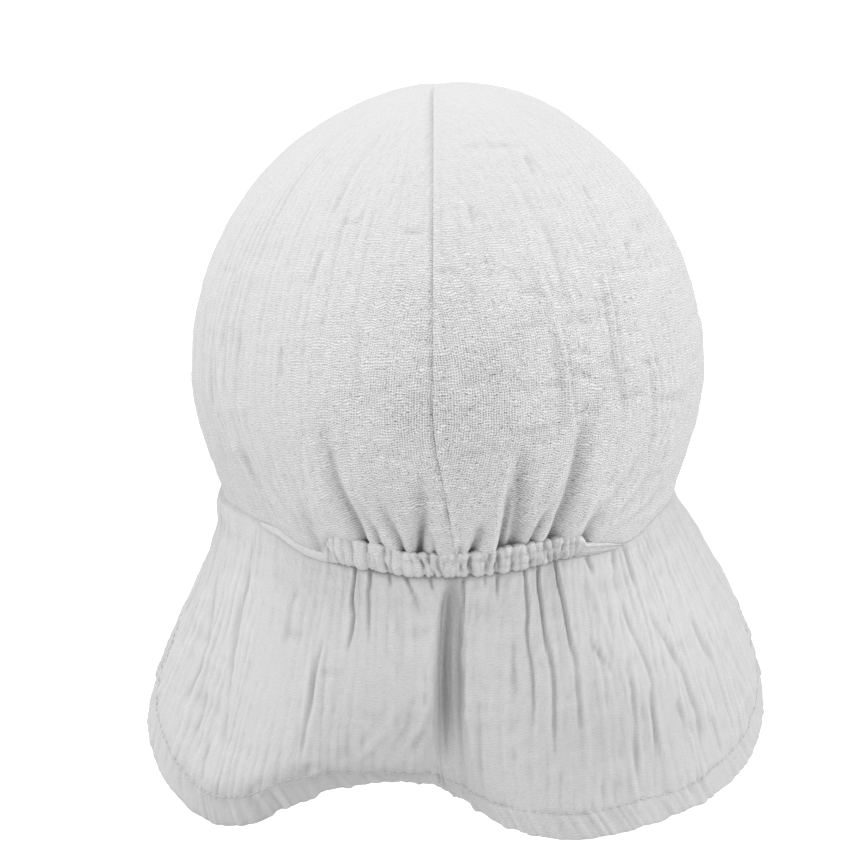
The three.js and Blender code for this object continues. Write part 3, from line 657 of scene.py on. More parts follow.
def make_stitches(name, lines, finish):
    """Stitches along lines of points, each with the directions that face out of the cloth."""
    pitch, length, radius, proud = STITCH
    form = bmesh.new()
    for points, facing in lines:
        along = lengths_along(points[None], 1)[0]
        read = lambda values, place: np.array([np.interp(place, along, values[:, k]) for k in range(3)])
        for middle in np.arange(pitch, along[-1] - pitch, pitch):
            start, end = read(points, middle - length / 2), read(points, middle + length / 2)
            way = unit(end - start)
            out = read(facing, middle)
            out = unit(out - way * (out @ way))
            axes = [np.cross(out, way) * radius, out * radius, way * length / 2]
            place = read(points, middle) + out * proud
            turned = [[*(a[k] * MM for a in axes), place[k] * MM] for k in range(3)]
            matrix = Matrix([*turned, (0, 0, 0, 1)])
            bmesh.ops.create_uvsphere(form, u_segments=6, v_segments=4, radius=1, matrix=matrix)
    return new_piece(name, new_mesh(name, form), finish)


def paint_relief_shade(relief, folds=0.0):
    """Painted shade by how deep each point lies: 0 on the open cloth, 1 in a crease, below 0 a painted
    highlight on a ridge, with the painted shade of folds added.
    """
    rows, columns = relief.shape
    around = relief.copy()
    for axis, steps in ((1, AROUND[1]), (0, AROUND[0])):
        padded = np.pad(around, [(steps, steps) if a == axis else (0, 0) for a in (0, 1)], mode="edge")
        total = np.zeros_like(around)
        for step in range(2 * steps + 1):
            total += padded[step : step + rows] if axis == 0 else padded[:, step : step + columns]
        around = total / (2 * steps + 1)
    raised = relief - around
    return ramp(-raised, 0.05, 0.5) - 0.5 * ramp(raised, 0.12, 0.52) + 0.9 * folds


# Finishes.


class Value:
    """A number that varies over a surface: sums, products and the like add Math nodes."""

    def __init__(self, finish, socket):
        self.finish, self.socket = finish, socket

    def _math(self, operation, *values):
        inputs = {i: v.socket if isinstance(v, Value) else v for i, v in enumerate(values)}
        node = self.finish.add("ShaderNodeMath", {"operation": operation}, inputs)
        return Value(self.finish, node.outputs[0])

    def __add__(self, other):
        return self._math("ADD", self, other)

    def __radd__(self, other):
        return self._math("ADD", other, self)

    def __sub__(self, other):
        return self._math("SUBTRACT", self, other)

    def __rsub__(self, other):
        return self._math("SUBTRACT", other, self)

    def __mul__(self, other):
        return self._math("MULTIPLY", self, other)

    def __rmul__(self, other):
        return self._math("MULTIPLY", other, self)

    def clamped(self):
        return self._math("MINIMUM", self._math("MAXIMUM", self, 0.0), 1.0)

    def sine(self):
        return self._math("SINE", self)


class Finish:
    """A material and its nodes."""

    def __init__(self, name, constants):
        self.material = bpy.data.materials.new(name)
        self.material.use_nodes = True
        self.tree = self.material.node_tree
        self.tree.nodes.clear()
        self.shader = self.add("ShaderNodeBsdfPrincipled", {}, constants)
        self.add("ShaderNodeOutputMaterial", {}, {"Surface": self.shader.outputs["BSDF"]})

    def add(self, kind, settings, inputs):
        node = self.tree.nodes.new(kind)
        for name, value in settings.items():
            setattr(node, name, value)
        for name, value in inputs.items():
            value = value.socket if isinstance(value, Value) else value
            if isinstance(value, bpy.types.NodeSocket):
                self.tree.links.new(value, node.inputs[name])
            else:
                node.inputs[name].default_value = value
        return node

    def value(self, kind, settings, inputs, output=0):
        return Value(self, self.add(kind, settings, inputs).outputs[output])

    def feed(self, name, value):
        socket = value.socket if isinstance(value, Value) else value
        self.tree.links.new(socket, self.shader.inputs[name])

    def mix(self, share, first, second):
        """A colour that is the given share of the way from the first to the second."""
        # A colour Mix node takes its factor and colours at inputs 0, 6 and 7.
        inputs = {0: share, 6: (*first, 1.0), 7: (*second, 1.0)}
        return self.add("ShaderNodeMix", {"data_type": "RGBA"}, inputs).outputs[2]

    def bump(self, strength, distance, height):
        inputs = {"Strength": strength, "Distance": distance, "Height": height}
        self.feed("Normal", self.add("ShaderNodeBump", {}, inputs).outputs[0])


def gauze(name, look, painted_light_tint=1.0, weave_share=1.0):
    """White double gauze: its open weave, fine crinkle, slow unevenness and painted shade, on the cloth's
    UV map.
    """
    finish = Finish(name, {"Roughness": 0.9, "Sheen Weight": 0.2, "Sheen Roughness": 0.5, "IOR": 1.4})
    place = finish.add("ShaderNodeUVMap", {"uv_map": "cloth"}, {}).outputs[0]
    axes = finish.add("ShaderNodeSeparateXYZ", {}, {"Vector": place}).outputs

    def noise(scale, detail, rough=0.5, at=place):
        inputs = {"Vector": at, "Scale": scale, "Detail": detail, "Roughness": rough}
        return finish.value("ShaderNodeTexNoise", {}, inputs)

    def drawn_out(share):
        """The cloth's place, for a pattern that is longer along it than across."""
        inputs = {"Vector": place, "Scale": (1.0, share, 1.0)}
        return finish.add("ShaderNodeMapping", {"vector_type": "POINT"}, inputs).outputs[0]

    def attribute(name):
        return finish.value("ShaderNodeAttribute", {"attribute_name": name}, {}, output=2)

    waver, drift = noise(160.0, 1.0), noise(520.0, 1.0)
    slanting = noise(390.0, 1.0, at=drawn_out(0.42))
    turns = 2 * math.pi / look.thread_gap
    u = Value(finish, axes[0]) * turns + (waver - 0.5) * 7.0 + (drift - 0.5) * 5.0
    v = Value(finish, axes[1]) * turns + (slanting - 0.5) * 17.0 + (drift - 0.5) * 5.0
    # The weft lies in rows, and the warp breaks them into dashes.
    weave = v.sine() * (0.62 + 0.38 * u.sine()) + u.sine() * 0.12
    grain = noise(2300.0, 1.0, 0.6)
    speckle = noise(760.0, 1.0, 0.6)
    mottle = noise(330.0, 2.0, 0.6)
    patches = (noise(60.0, 2.0) * 2.2 - 0.55).clamped()
    pores = ((0.37 - noise(1050.0, 0.0)) * 8.0).clamped()
    crinkle = noise(500.0, 3.0, 0.6, at=drawn_out(0.16))
    painted_shade, stretched = attribute("painted_shade"), attribute("stretched")
    # The weave shows most where the cloth is stretched.
    openness = (0.22 + 2.15 * stretched) * weave_share
    shown = weave * (0.2 + 0.3 * patches + 1.1 * speckle) * openness
    grains = 0.3 * (grain - 0.5) + 0.26 * (speckle - 0.5)
    even = 0.688 + 0.232 * stretched + 0.045 * (mottle - 0.5)
    # Painted shade darkens the colour in creases, folds and seams, and a painted highlight lightens
    # ridges.
    light = even + 0.2 * shown + (0.92 * grains - 0.16 * pores) * openness - 0.083 * painted_shade
    # A tint makes a lighter or darker copy of the gauze, painting light or shade onto a whole piece.
    colour = [painted_light_tint * c for c in look.gauze]
    finish.feed("Base Color", finish.mix(light.clamped(), (0.0, 0.0, 0.0), colour))
    finish.feed("Roughness", (0.84 + 0.1 * mottle).clamped())
    finish.bump(1.0, MM, shown * 0.13 + crinkle * 0.5 + mottle * 0.25)
    return finish.material


def thread_finish(name, look):
    finish = Finish(name, {"Roughness": 0.7, "Sheen Weight": 0.2, "IOR": 1.45})
    place = finish.add("ShaderNodeTexCoord", {}, {}).outputs["Object"]
    twist = finish.value("ShaderNodeTexWave", {}, {"Vector": place, "Scale": 900.0, "Distortion": 2.0})
    dark = [0.8 * c for c in look.thread]
    finish.feed("Base Color", finish.mix(twist, dark, look.thread))
    finish.bump(0.6, 0.2 * MM, twist)
    return finish.material


def once(name, make, *settings):
    """The finish of that name, made when it is first asked for."""
    return bpy.data.materials.get(name) or make(name, *settings)


def join_frame(piece, nodes):
    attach(piece, "root")
    if nodes:
        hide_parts(*nodes)


# The crown.


def foot_height(turn, z):
    """How far points stand above the casing's upper edge."""
    return z - rim_z(turn) - casing_height(turn)


def puff_relief(turn, z):
    """The fullness that swells over the casing."""
    up = np.clip(foot_height(turn, z) / PUFF["reach"], 0, 1) ** 0.8
    fade = np.clip((PUFF["end_turn"] - np.abs(turn)) / (PUFF["end_turn"] - PUFF["full_turn"]), 0, 1)
    return PUFF["depth"] * 6.75 * up * (1 - up) ** 2 * fade**2 * (3 - 2 * fade)


def rounded(away, lip):
    """A rounded edge: 0 at the edge itself and 1 from the lip's width on."""
    return np.sqrt(np.clip(1 - np.clip(1 - away / lip, 0, 1) ** 2, 0, 1))


def seam_profile(distance, depth, width, lip):
    """A seam's groove, whose cloth turns in over the last part, at a distance from the seam."""
    away = np.abs(distance)
    return -depth * hump(away / width) - LIP_DEPTH * (1 - rounded(away, lip))


def crown_relief(turn, points, gore):
    x, y, z = np.moveaxis(points, -1, 0)
    radius = np.hypot(x, y)
    at_tip = np.clip(np.hypot(x - GORES_MEET[0], y - GORES_MEET[1]) / SEAMS_FADE, 0, 1)
    side = np.radians(turn - math.copysign(90, turn.mean())) * radius
    relief = at_tip * seam_profile(side, *PRESSED_SEAM)
    for dx, dy, dz, depth, reach in DENTS:
        relief -= depth * hump(np.sqrt((x - dx) ** 2 + (y - dy) ** 2 + (z - dz) ** 2) / reach)
    if not gore["back"]:
        front = np.radians(np.abs(turn) - 180) * radius
        return relief + at_tip * seam_profile(front, *PRESSED_SEAM)
    seam = np.radians(turn - back_seam_turn(z)) * radius
    # At the back the right gore laps the left, whose edge sinks raggedly beside it.
    if gore["lapped"]:
        relief += at_tip * (0.35 * hump(seam / 2.0) + seam_profile(seam, 0, 1, 0.6))
    else:
        ragged = 1 + 0.5 * value_noise(z / 5, 0 * z, 83)
        relief -= 0.75 * at_tip * ragged * hump(np.minimum(seam, 0) / 1.1)
    return np.where(z < EQUATOR_Z, relief + puff_relief(turn, z), relief)


# Gores: node, whether it is behind, whether it laps its neighbour, its first and last turn, and seed.
GORE_KEYS = ("node", "back", "lapped", "from", "to", "seed")
GORES = [
    ("crown_back_left", True, False, -90, SEAM_FOOT, 11),
    ("crown_back_right", True, True, SEAM_FOOT, 90, 23),
    ("crown_front_right", False, True, 90, 180, 37),
    ("crown_front_left", False, True, -180, -90, 53),
]


def gore_grid(gore):
    """The turns and the points of a gore's rows and columns."""
    step_across, step_along = BACK_STEPS if gore["back"] else FRONT_STEPS
    columns = int(math.radians(gore["to"] - gore["from"]) * CROWN["back"] / step_across) + 1
    column = np.linspace(gore["from"], gore["to"], columns)
    drawn = np.clip(1 - np.abs(column - SEAM_FOOT) / SEAM_DRAWS, 0, 1) if gore["back"] else 0 * column
    rows = int(DOME_LENGTH / step_along)
    shares = np.sin(np.linspace(0, math.pi / 2, rows))[:, None]
    under = 0 if gore["lapped"] else UNDERLAP[0] * ramp(column, gore["to"] - UNDERLAP[1], gore["to"])
    turn = np.tile(column + drawn * (back_seam_turn(0.0) - SEAM_FOOT) + under, (rows, 1))
    dome = dome_points(turn, shares)
    edge = rim_z(column) + np.where(casing_height(column) > 1, 0.45 * casing_height(column), 0.2)
    down = int(SKIRT_LENGTH / step_along)
    z = EQUATOR_Z + np.linspace(0, 1, down + 1)[1:, None] * (edge - EQUATOR_Z)
    turned = column + drawn * (back_seam_turn(z) - SEAM_FOOT) + under
    points = np.concatenate([dome, skirt_points(turned, z)])
    return np.concatenate([turn, turned]), points


def crown_crinkle(gore, turn, points, sizes):
    """The strips and puckers that the crinkled cloth keeps, faded at the seams and near the tip."""
    middle = points.shape[1] // 2
    across = lengths_along(points, 1)
    across -= across[:, middle : middle + 1]
    along = lengths_along(points, 0)
    seed = gore["seed"]
    side, taut = patch(points, "crown_side"), patch(points, "taut_crown")
    below = np.clip((EQUATOR_Z - points[..., 2]) / 50, 0, 1)
    drawn_in = 0.3 * below**1.5 if gore["back"] else 0 * below
    by_turn = turn * (1 + drawn_in) * math.radians(1) * CROWN["back"]
    lines = strips(by_turn, along, seed, "crown_lines")
    long_lines = strips(by_turn, along, seed + 29, "crown_long_lines")
    fine = strips(across, along, seed + 3, "crown_fine")
    puckers = strips(along + 0.08 * across, across, seed + 7, "crown_puckers")
    small = strips(along, across, seed + 9, "crown_small")
    swell = value_noise(across / 8, along / 30, seed + 13)
    dapple = value_noise(across / 1.7, along / 2.6, seed + 17)
    dapple = dapple + value_noise(across / 3.4, along / 5, seed + 19)
    # The long lines show at the sides, and little of it all shows near the tip or where it is taut.
    at_side = ramp(np.abs(turn), 24, 54) * ramp(np.abs(turn), 165, 135)
    from_tip = ramp(along, 14, 84)
    relief = sizes.crinkle_depth * lines * (1 - 0.6 * taut) * from_tip * (1 - 0.6 * at_side)
    relief += sizes.crinkle_depth * (0.25 + 1.0 * at_side) * long_lines * from_tip
    relief += 0.18 * fine * (1 - 0.3 * taut) * (0.3 + 0.7 * from_tip)
    relief += 0.26 * puckers * (0.7 - 0.2 * taut + 1.3 * side) * (0.25 + 0.75 * from_tip)
    relief += 0.1 * small * (1 + 0.8 * side) * (0.3 + 0.7 * from_tip) + 0.12 * swell + 0.05 * dapple - 0.4
    edge = np.minimum(across - across[:, :1], across[:, -1:] - across)
    stretched = patch(points, "open_weave") + 0.3 * side
    return relief * np.clip(edge / 3, 0, 1), across, along, np.clip(stretched, 0, 1)


class SUNCAP_OT_crown(bpy.types.Operator):
    """Make the four gores of the crown from crinkled gauze"""

    bl_idname = "suncap.crown"
    bl_label = "Crown"

    def execute(self, context):
        sizes, look = context.scene.sun_cap_sizes, context.scene.sun_cap_look
        for row in GORES:
            gore = dict(zip(GORE_KEYS, row))
            turn, points = gore_grid(gore)
            normals = grid_normals(points)
            normals[0] = (0, 0, 1)
            relief = crown_relief(turn, points, gore)
            crinkle, across, along, stretched = crown_crinkle(gore, turn, points, sizes)
            above = foot_height(turn, points[..., 2])
            folds = painted_crease_shade = 0.0
            # The gathers run out behind the casing, and the fine folds paint less shade into the cloth.
            if gore["back"]:
                gathers, gather_depths = fold_relief(points, GATHERS, opens=0.35, closes=0)
                fine_folds, fine_depths = fold_relief(points, CROWN_FOLDS)
                folds = sizes.fold_depth * (gathers * np.clip(0.8 + above / 6, 0, 1) + fine_folds)
                painted_crease_shade = gather_depths + 0.6 * fine_depths
            # The edge laps the casing, and beyond its ends is pressed in along the rolled seam.
            full = np.clip(casing_height(turn) / 8, 0.1, 1)
            lift = np.interp(above, *FOOT_LIFT.T) * np.where(above > -0.5, full, 1)
            # Painted shade along the rolled seam beyond the casing's ends.
            painted_crease_shade = painted_crease_shade + 1.1 * hump(above / 0.9) * (full < 1) * (casing_height(turn) > 0.4)
            relief = relief + crinkle * np.clip(above / 3, 0.1, 1) + folds + lift
            finish = once("crinkled_crown", gauze, look)
            shell = points + normals * relief[..., None]
            painted_shade = paint_relief_shade(relief, painted_crease_shade)
            name = gore["node"] + "_gauze"
            piece = make_cloth(name, shell, sizes.wall, finish, across, along, painted_shade, stretched)
            join_frame(piece, [gore["node"]])
        return {"FINISHED"}


# The elastic casing.


class SUNCAP_OT_casing(bpy.types.Operator):
    """Make the ruffled casing over the elastic, and the rolled seams at its ends"""

    bl_idname = "suncap.casing"
    bl_label = "Elastic casing"

    def execute(self, context):
        sizes, look = context.scene.sun_cap_sizes, context.scene.sun_cap_look
        turns = np.linspace(*CASING_SPAN, CASING_POINTS[0])
        around = np.linspace(0, 2 * math.pi, CASING_POINTS[1])[:, None]
        height = np.maximum(casing_height(turns), 0.5)
        full = np.minimum(casing_height(turns) / 8, 1)
        # Round the band: up over the front from its lower edge, and down its back.
        up, out = -np.cos(around), np.sin(around)
        open_cloth = casing_puffs(turns, up)
        edge_cloth = casing_puffs(turns, np.sign(up))
        front = np.clip(out, 0, 1) ** 0.42
        back = np.clip(-out, 0, 1) ** 0.5
        wrinkle = value_noise(turns[None] * 1.7 + 0.4 * up, around * 1.5, 91) * 0.2
        welt = 0.9 * np.clip(height / 1.5, 0, 1) * (1 - full)
        standing = 0.3 + welt + full * (sizes.casing_bulge + sizes.ruffle * (open_cloth + wrinkle))
        relief = standing * front - 1.1 * back
        low = 0.9 * full
        half = (height - low) / 2 + 0.4 - 1.3 * full * (1 - edge_cloth)
        wander = 0.35 * value_noise(turns * 0.21, 0 * turns, 97) * full
        z = rim_z(turns) + (height + low) / 2 + wander + half * up
        around_rim = np.broadcast_to(turns, z.shape).copy()
        shell = skirt_points(around_rim, z) + level(around_rim) * relief[..., None]
        # Painted shade in the casing's creases, on its front face.
        painted_shade = 4.8 * full * (1 - open_cloth) ** 1.8 * np.clip(out, 0, 1)
        # The casing's copy of the gauze is lighter, as painted light.
        finish = once("crinkled_casing", gauze, look, 1.03, 0.6)
        piece = make_cloth("nape_casing_gauze", shell, 0, finish, painted_shade=painted_shade, stretched=0.45 * full)
        join_frame(piece, ["nape_casing"])
        close_tube(piece)
        return {"FINISHED"}


def casing_puffs(turns, up):
    """1 where the casing's cloth is puffed out and 0 in its deepest creases."""
    puffs = np.ones(np.broadcast_shapes(turns.shape, up.shape))
    for i, (top, foot, strength) in enumerate(CREASES):
        bent = 0.45 * value_noise(1.3 * up, 3.7 * i + 0 * up, 101)
        crease = (top + foot) / 2 + (top - foot) / 2 * up + bent
        away = np.abs(np.radians(turns - crease)) * RIM["back"]
        held = strength * (0.85 + 0.35 * value_noise(1.6 * up, 5.3 * i + 0 * up, 103))
        reach = CREASE_REACH[0] + CREASE_REACH[1] * strength
        puffs = np.minimum(puffs, 1 - held * np.exp(-((away / reach) ** 1.2)))
    rng = np.random.default_rng(105)
    for _ in range(SHORT_CREASES):
        middle, height, lean, strength = rng.uniform((-32, -1.1, -1.2, 0.12), (36, 1.1, 1.2, 0.45))
        away = np.radians(turns - middle - lean * up) * RIM["back"]
        puffs -= strength * hump(away / 0.45) * hump((up - height) / 0.5)
    return np.clip(puffs, 0, 1)


def close_tube(piece):
    """Joins the first and last rows of a tube, and closes its two ends."""
    form = bmesh.new()
    form.from_mesh(piece.data)
    bmesh.ops.remove_doubles(form, verts=form.verts, dist=1e-6)
    loops = [e for e in form.edges if e.is_boundary]
    bmesh.ops.holes_fill(form, edges=loops, sides=0)
    bmesh.ops.recalc_face_normals(form, faces=form.faces)
    form.to_mesh(piece.data)
    form.free()


# The neck flap.


def flap_points(place, share):
    """The flap before its folds: place runs along the strips, and share from the root to the hem."""
    turn = smooth(FLAP_STRIPS[:, 0], place)
    root = level(turn) * ellipse_radius(turn, RIM)[..., None]
    root[..., 2] = rim_z(turn) - SEAM_GAP
    column = lambda n: smooth(FLAP_STRIPS[:, n], place)
    hem = np.stack([-column(3), column(4), column(5)], axis=-1)
    # The deep fold between the lobes grows shallow downwards and runs out over the hem.
    closing = np.interp(share, *FOLD_CLOSES.T)
    filled = closing * np.clip(LOBES_FACE - column(2), 0, MOST_FILLED) * (np.abs(turn) < FOLD_HALF_TURN)
    middle = np.stack([-column(1), column(2) + filled, (root[..., 2] + hem[..., 2]) / 2], axis=-1)
    share = share[..., None]
    upper, lower = root * (1 - share) * (1 - 2 * share), hem * share * (2 * share - 1)
    return upper + middle * 4 * share * (1 - share) + lower


def flap_grid():
    """The turns and the points of the flap's rows and columns, before its folds."""
    dense = np.linspace(0, len(FLAP_STRIPS) - 1, 3000)
    lines = [flap_points(dense, np.full(dense.shape, share)) for share in (0.5, 1.0)]
    length = sum(lengths_along(line[None], 1)[0] for line in lines)
    # Columns stand closer behind than at the sides, and rows closer at the seam and the hem.
    closeness = np.interp(np.abs(smooth(FLAP_STRIPS[:, 0], dense)), (52, 72), (1, 0.55))
    count = np.cumsum(np.gradient(length / 2) * closeness)
    columns = int((count[-1] - count[0]) / FLAP_STEP)
    place = np.interp(np.linspace(count[0], count[-1], columns), count, dense)
    share = np.interp(np.linspace(0, 1, FLAP_ROWS), (0, 0.12, 0.7, 1), (0, 0.05, 0.84, 1))
    shares = share[:, None] * np.ones(columns)
    places = np.broadcast_to(place, shares.shape)
    return smooth(FLAP_STRIPS[:, 0], places), flap_points(places, shares)


def flap_crinkle(place, along, crinkle_depth):
    """The strips and puckers that the flap's cloth keeps, flatter about the middle of the nape."""
    lines = strips(place, along, 131, "flap_lines")
    fine_lines = strips(place, along, 137, "flap_fine")
    puckers = strips(along, place, 139, "flap_puckers")
    swell = value_noise(place / 9, along / 45, 149)
    dapple = value_noise(place / 1.8, along / 3, 157)
    middle = hump((place - place[0, place.shape[1] // 2]) / 60)
    fine = crinkle_depth * (1.8 - 1.2 * middle) * lines + (0.2 - 0.1 * middle) * fine_lines
    return fine + (0.36 * puckers + 0.55 * swell + (0.14 + 0.14 * middle) * dapple)


def hem_drop(place, x, above_hem, behind):
    """How far the hem's edge rises and falls: it is ragged, and steps up at its notches."""
    ragged = value_noise(place / 6, 0 * place, 181)
    ragged = ragged + 0.5 * value_noise(place / 2.4, 0 * place, 191)
    notched = 0.0
    for at in HEM_NOTCHES:
        right_of = 1 / (1 + np.exp((at - x) / 1.5))
        notched -= (1 - right_of) * hump((x - at) / 22) - 0.6 * right_of * hump((x - at) / 14)
    return (0.45 * ragged + 0.95 * notched * behind) * np.clip(1 - above_hem / 14, 0, 1)


def painted_flap_shade_and_light(points, turn, place, along):
    """Painted shade where the flap is darker than its relief makes it, and painted light where it is
    lighter.
    """
    x, y = seen(points)
    # Painted shade: it is dark where it is sewn on, and in the deep fold from the casing down.
    painted_seam_shade = 1.3 * hump(along / 1.1) * (0.7 + 0.5 * value_noise(place / 3, 0 * along, 173))
    painted_seam_shade *= np.interp(turn, (-60, -38, 30, 42), (0.45, 1, 1, 0.35))
    middle, width, *fades = UPPER_SHADOW
    painted_fold_and_lobe_shade = 2.4 * hump((x - middle) / width) ** 2 * ramp(y, *fades)
    middle, width, *fades = LOWER_SHADOW
    painted_fold_and_lobe_shade += hump((x - middle) / width) * ramp(y, *fades[:2]) * ramp(y, *fades[2:])
    painted_fold_and_lobe_shade *= points[..., 1] > 0
    # Painted shade on a patch of the right lobe and at the deep fold's foot.
    painted_fold_and_lobe_shade += 1.2 * patch(points, "shaded_lobe") + 0.8 * patch(points, "painted_fold_foot_shade")
    # Painted light: it is lighter beyond the casing's ends.
    painted_light_past_casing = np.interp(turn, (-62, -40, 31, 48), (1, 0, 0, 1)) * np.clip(points[..., 1] / 45, 0, 1)
    painted_light_past_casing *= np.interp(along, (20, 62), (1, 0))
    return painted_seam_shade + painted_fold_and_lobe_shade - painted_light_past_casing


def root_rows(turn):
    """Rows that run up from the flap's root inside the crown."""
    rows = [skirt_points(turn, rim_z(turn) + up) - level(turn) * 1.5 for up in (4.0, 2.6, 1.2)]
    return np.array(rows)


def turned_hem(shell, normals, above_hem, band):
    """Rows that go round the hem's edge and run up inside the flap."""
    last, normal = shell[-1], normals[-1]
    down = unit(shell[-1] - shell[-3])
    half = HEM_THICKNESS / 2
    rows = []
    for angle in np.radians((45, 90, 135, 180)):
        rows.append(last - normal * half * (1 - math.cos(angle)) + down * half * math.sin(angle))
    for up in np.arange(1.2, band, 1.3):
        r = -1 - up / np.maximum(above_hem[-2] - above_hem[-1], 0.1)
        row = np.clip(np.round(len(shell) + r).astype(int), 0, len(shell) - 1)
        picks = np.arange(shell.shape[1])
        rows.append(shell[row, picks] - normals[row, picks] * HEM_THICKNESS)
    return np.array(rows)


class SUNCAP_OT_flap(bpy.types.Operator):
    """Make the neck flap with its folds and its turned-up hem"""

    bl_idname = "suncap.flap"
    bl_label = "Neck flap"

    def execute(self, context):
        sizes, look = context.scene.sun_cap_sizes, context.scene.sun_cap_look
        turn, points = flap_grid()
        normals = grid_normals(points)
        across, along = lengths_along(points, 1), lengths_along(points, 0)
        across -= across[:, across.shape[1] // 2][:, None]
        above_hem = along[-1] - along
        place = np.broadcast_to(across[len(across) // 2], across.shape)
        x = seen(points)[0]
        behind = points[..., 1] > 0
        # The band's height, and 1 on the hem and 0 above it.
        band = sizes.hem_height + 0.7 * value_noise(place / 21, 0 * along, 163)
        more, at, reach = WIDER_HEM
        band += more * hump((turn - at) / reach)
        hem = 1 / (1 + np.exp((above_hem - band) / 0.5))
        falls, fall_depths = fold_relief(points, FLAP_FALLS, opens=0, closes=0.3)
        folds, fold_depths = fold_relief(points, FLAP_FOLDS)
        shown = behind * (1 - 0.7 * hem)
        painted_crease_shade = (fall_depths + 0.7 * fold_depths) * shown
        folds = sizes.fold_depth * (falls * np.clip(0.4 + along, 0, 1) + folds) * shown
        # The hem is puckered by its stitches, and on the left lobe it curls in.
        dimples = strips(place + 0.55 * above_hem, along, 151, "hem_dimples")
        curled_in = np.interp(turn, *HEM_CURL.T)
        over_edge = np.clip(1 - above_hem / (1.6 * band), 0, 1)
        curl = curled_in * over_edge * over_edge**0.6
        held = 0.5 + 0.5 * value_noise(place / 5, 0 * along, 167)
        held *= np.interp(turn, (-82, -48, -10, 10, 62, 82), (0.25, 0.35, 0.6, 0.9, 0.9, 0.4))
        stitched = held * hump((above_hem - band) / 0.9)
        # The deep fold and two plain patches have less crinkle, and so have the hem and the edges.
        fine = flap_crinkle(place, along, sizes.crinkle_depth)
        fine *= 1 - 0.75 * hump((turn - 0.6) / 3.4)
        fine *= 1 - 0.6 * (patch(points, "plain_by_fold") + patch(points, "plain_on_lobe"))
        ends = np.minimum(across - across[:, :1], across[:, -1:] - across)
        fine *= (1 - 0.7 * hem) * np.clip(ends / 3, 0.2, 1) * np.clip(along / 3, 0.15, 1)
        fine += hem * (0.2 + 0.8 * dimples) - 0.6 * stitched * (1 - 0.5 * dimples) - curl
        relief = folds + fine + hump(along / 6) * np.interp(turn, *ROOT_HANG.T)
        shell = points + normals * relief[..., None]
        shell[..., 2] += hem_drop(place, x, above_hem, behind)
        root = root_rows(turn[0])
        turned = turned_hem(shell, normals, above_hem, sizes.hem_height)
        whole = np.concatenate([root, shell, turned])
        # Painted shade: the hem is dark where it turns under and along its stitch line, and the painted
        # shade of the rest follows its depth.
        shade_over_hem = hump((above_hem - band - 1.0) / 3.6)
        painted_hem_shade = hem * (1.2 - 0.8 * dimples) + 1.1 * shade_over_hem
        painted_hem_shade *= curled_in / HEM_CURL[:, 1].max()
        shade = painted_flap_shade_and_light(points, turn, place, along) + 0.25 * stitched + painted_hem_shade
        painted_shade = paint_relief_shade(relief, painted_crease_shade + shade)
        stretched = 0.07 * hump((x - FLAP_WEAVE[0]) / FLAP_WEAVE[1]) * behind
        more_rows = [(len(root), len(turned)), (0, 0)]
        across, painted_shade, stretched = (np.pad(v, more_rows, mode="edge") for v in (across, painted_shade, stretched))
        # The flap's copy of the gauze is darker, as painted shade.
        finish, wall = once("crinkled_flap", gauze, look, 0.93, 0.75), 0.8 * sizes.wall
        piece = make_cloth("neck_flap_gauze", whole, wall, finish, across, None, painted_shade, stretched)
        join_frame(piece, ["neck_flap"])
        line, facing = line_across(shell, normals, above_hem, band)
        thread = once("sewing_thread", thread_finish, look)
        stitches = make_stitches("hem_stitching", [(line, facing)], thread)
        join_frame(stitches, [])
        return {"FINISHED"}


# The peak.


class SUNCAP_OT_peak(bpy.types.Operator):
    """Make the soft peak with its stitched rows"""

    bl_idname = "suncap.peak"
    bl_label = "Peak"

    def execute(self, context):
        sizes, look = context.scene.sun_cap_sizes, context.scene.sun_cap_look
        columns, rows = 300, 56
        aside = np.linspace(-1, 1, columns)
        turn = 180 + aside * PEAK["half_turn"]
        wrapped = np.where(turn > 180, turn - 360, turn)
        root = level(turn) * (ellipse_radius(turn, RIM) - SOLID_WALL)[:, None]
        root[:, 2] = rim_z(wrapped) - SEAM_GAP
        depth = 3 + (PEAK["depth"] - 3) * (1 - np.abs(aside) ** PEAK["taper"])
        ahead = unit(np.array([0.0, -1.0]) * (1 - PEAK["spread"]) + outward(turn) * PEAK["spread"])
        share = np.linspace(0, 1, rows)[:, None]
        slope = np.radians(PEAK["slope"] + PEAK["droop"] * share)
        flat = root[:, :2] + ahead * (depth * share * np.cos(slope))[..., None]
        z = root[:, 2] - depth * share * np.sin(slope)
        points = np.concatenate([flat, z[..., None]], axis=-1)
        normals = grid_normals(points)
        across, along = lengths_along(points, 1), lengths_along(points, 0)
        left = along[-1] - along
        lines = strips(across, along, 173, "peak_lines")
        fine = sizes.crinkle_depth * lines + 0.2 * value_noise(across / 8, along / 25, 179)
        for row in PEAK_ROWS:
            fine -= 0.45 * hump((left - row) / 0.7)
        fine -= 1.1 * (1 - rounded(left, 1.2))
        shell = points + normals * fine[..., None]
        finish = once("crinkled_peak", gauze, look, 1.0, 0.6)
        # Painted shade in the peak's creases and stitched rows.
        painted_shade = paint_relief_shade(fine)
        piece = make_cloth("peak_gauze", shell, PEAK["thickness"], finish, across, along, painted_shade)
        join_frame(piece, ["peak"])
        lines = []
        for row in PEAK_ROWS:
            kept = left[0] > row + 1
            wanted = np.full(kept.sum(), row)
            lines.append(line_across(shell[:, kept], normals[:, kept], left[:, kept], wanted))
        thread = once("sewing_thread", thread_finish, look)
        join_frame(make_stitches("peak_stitching", lines, thread), [])
        return {"FINISHED"}


# The stage.


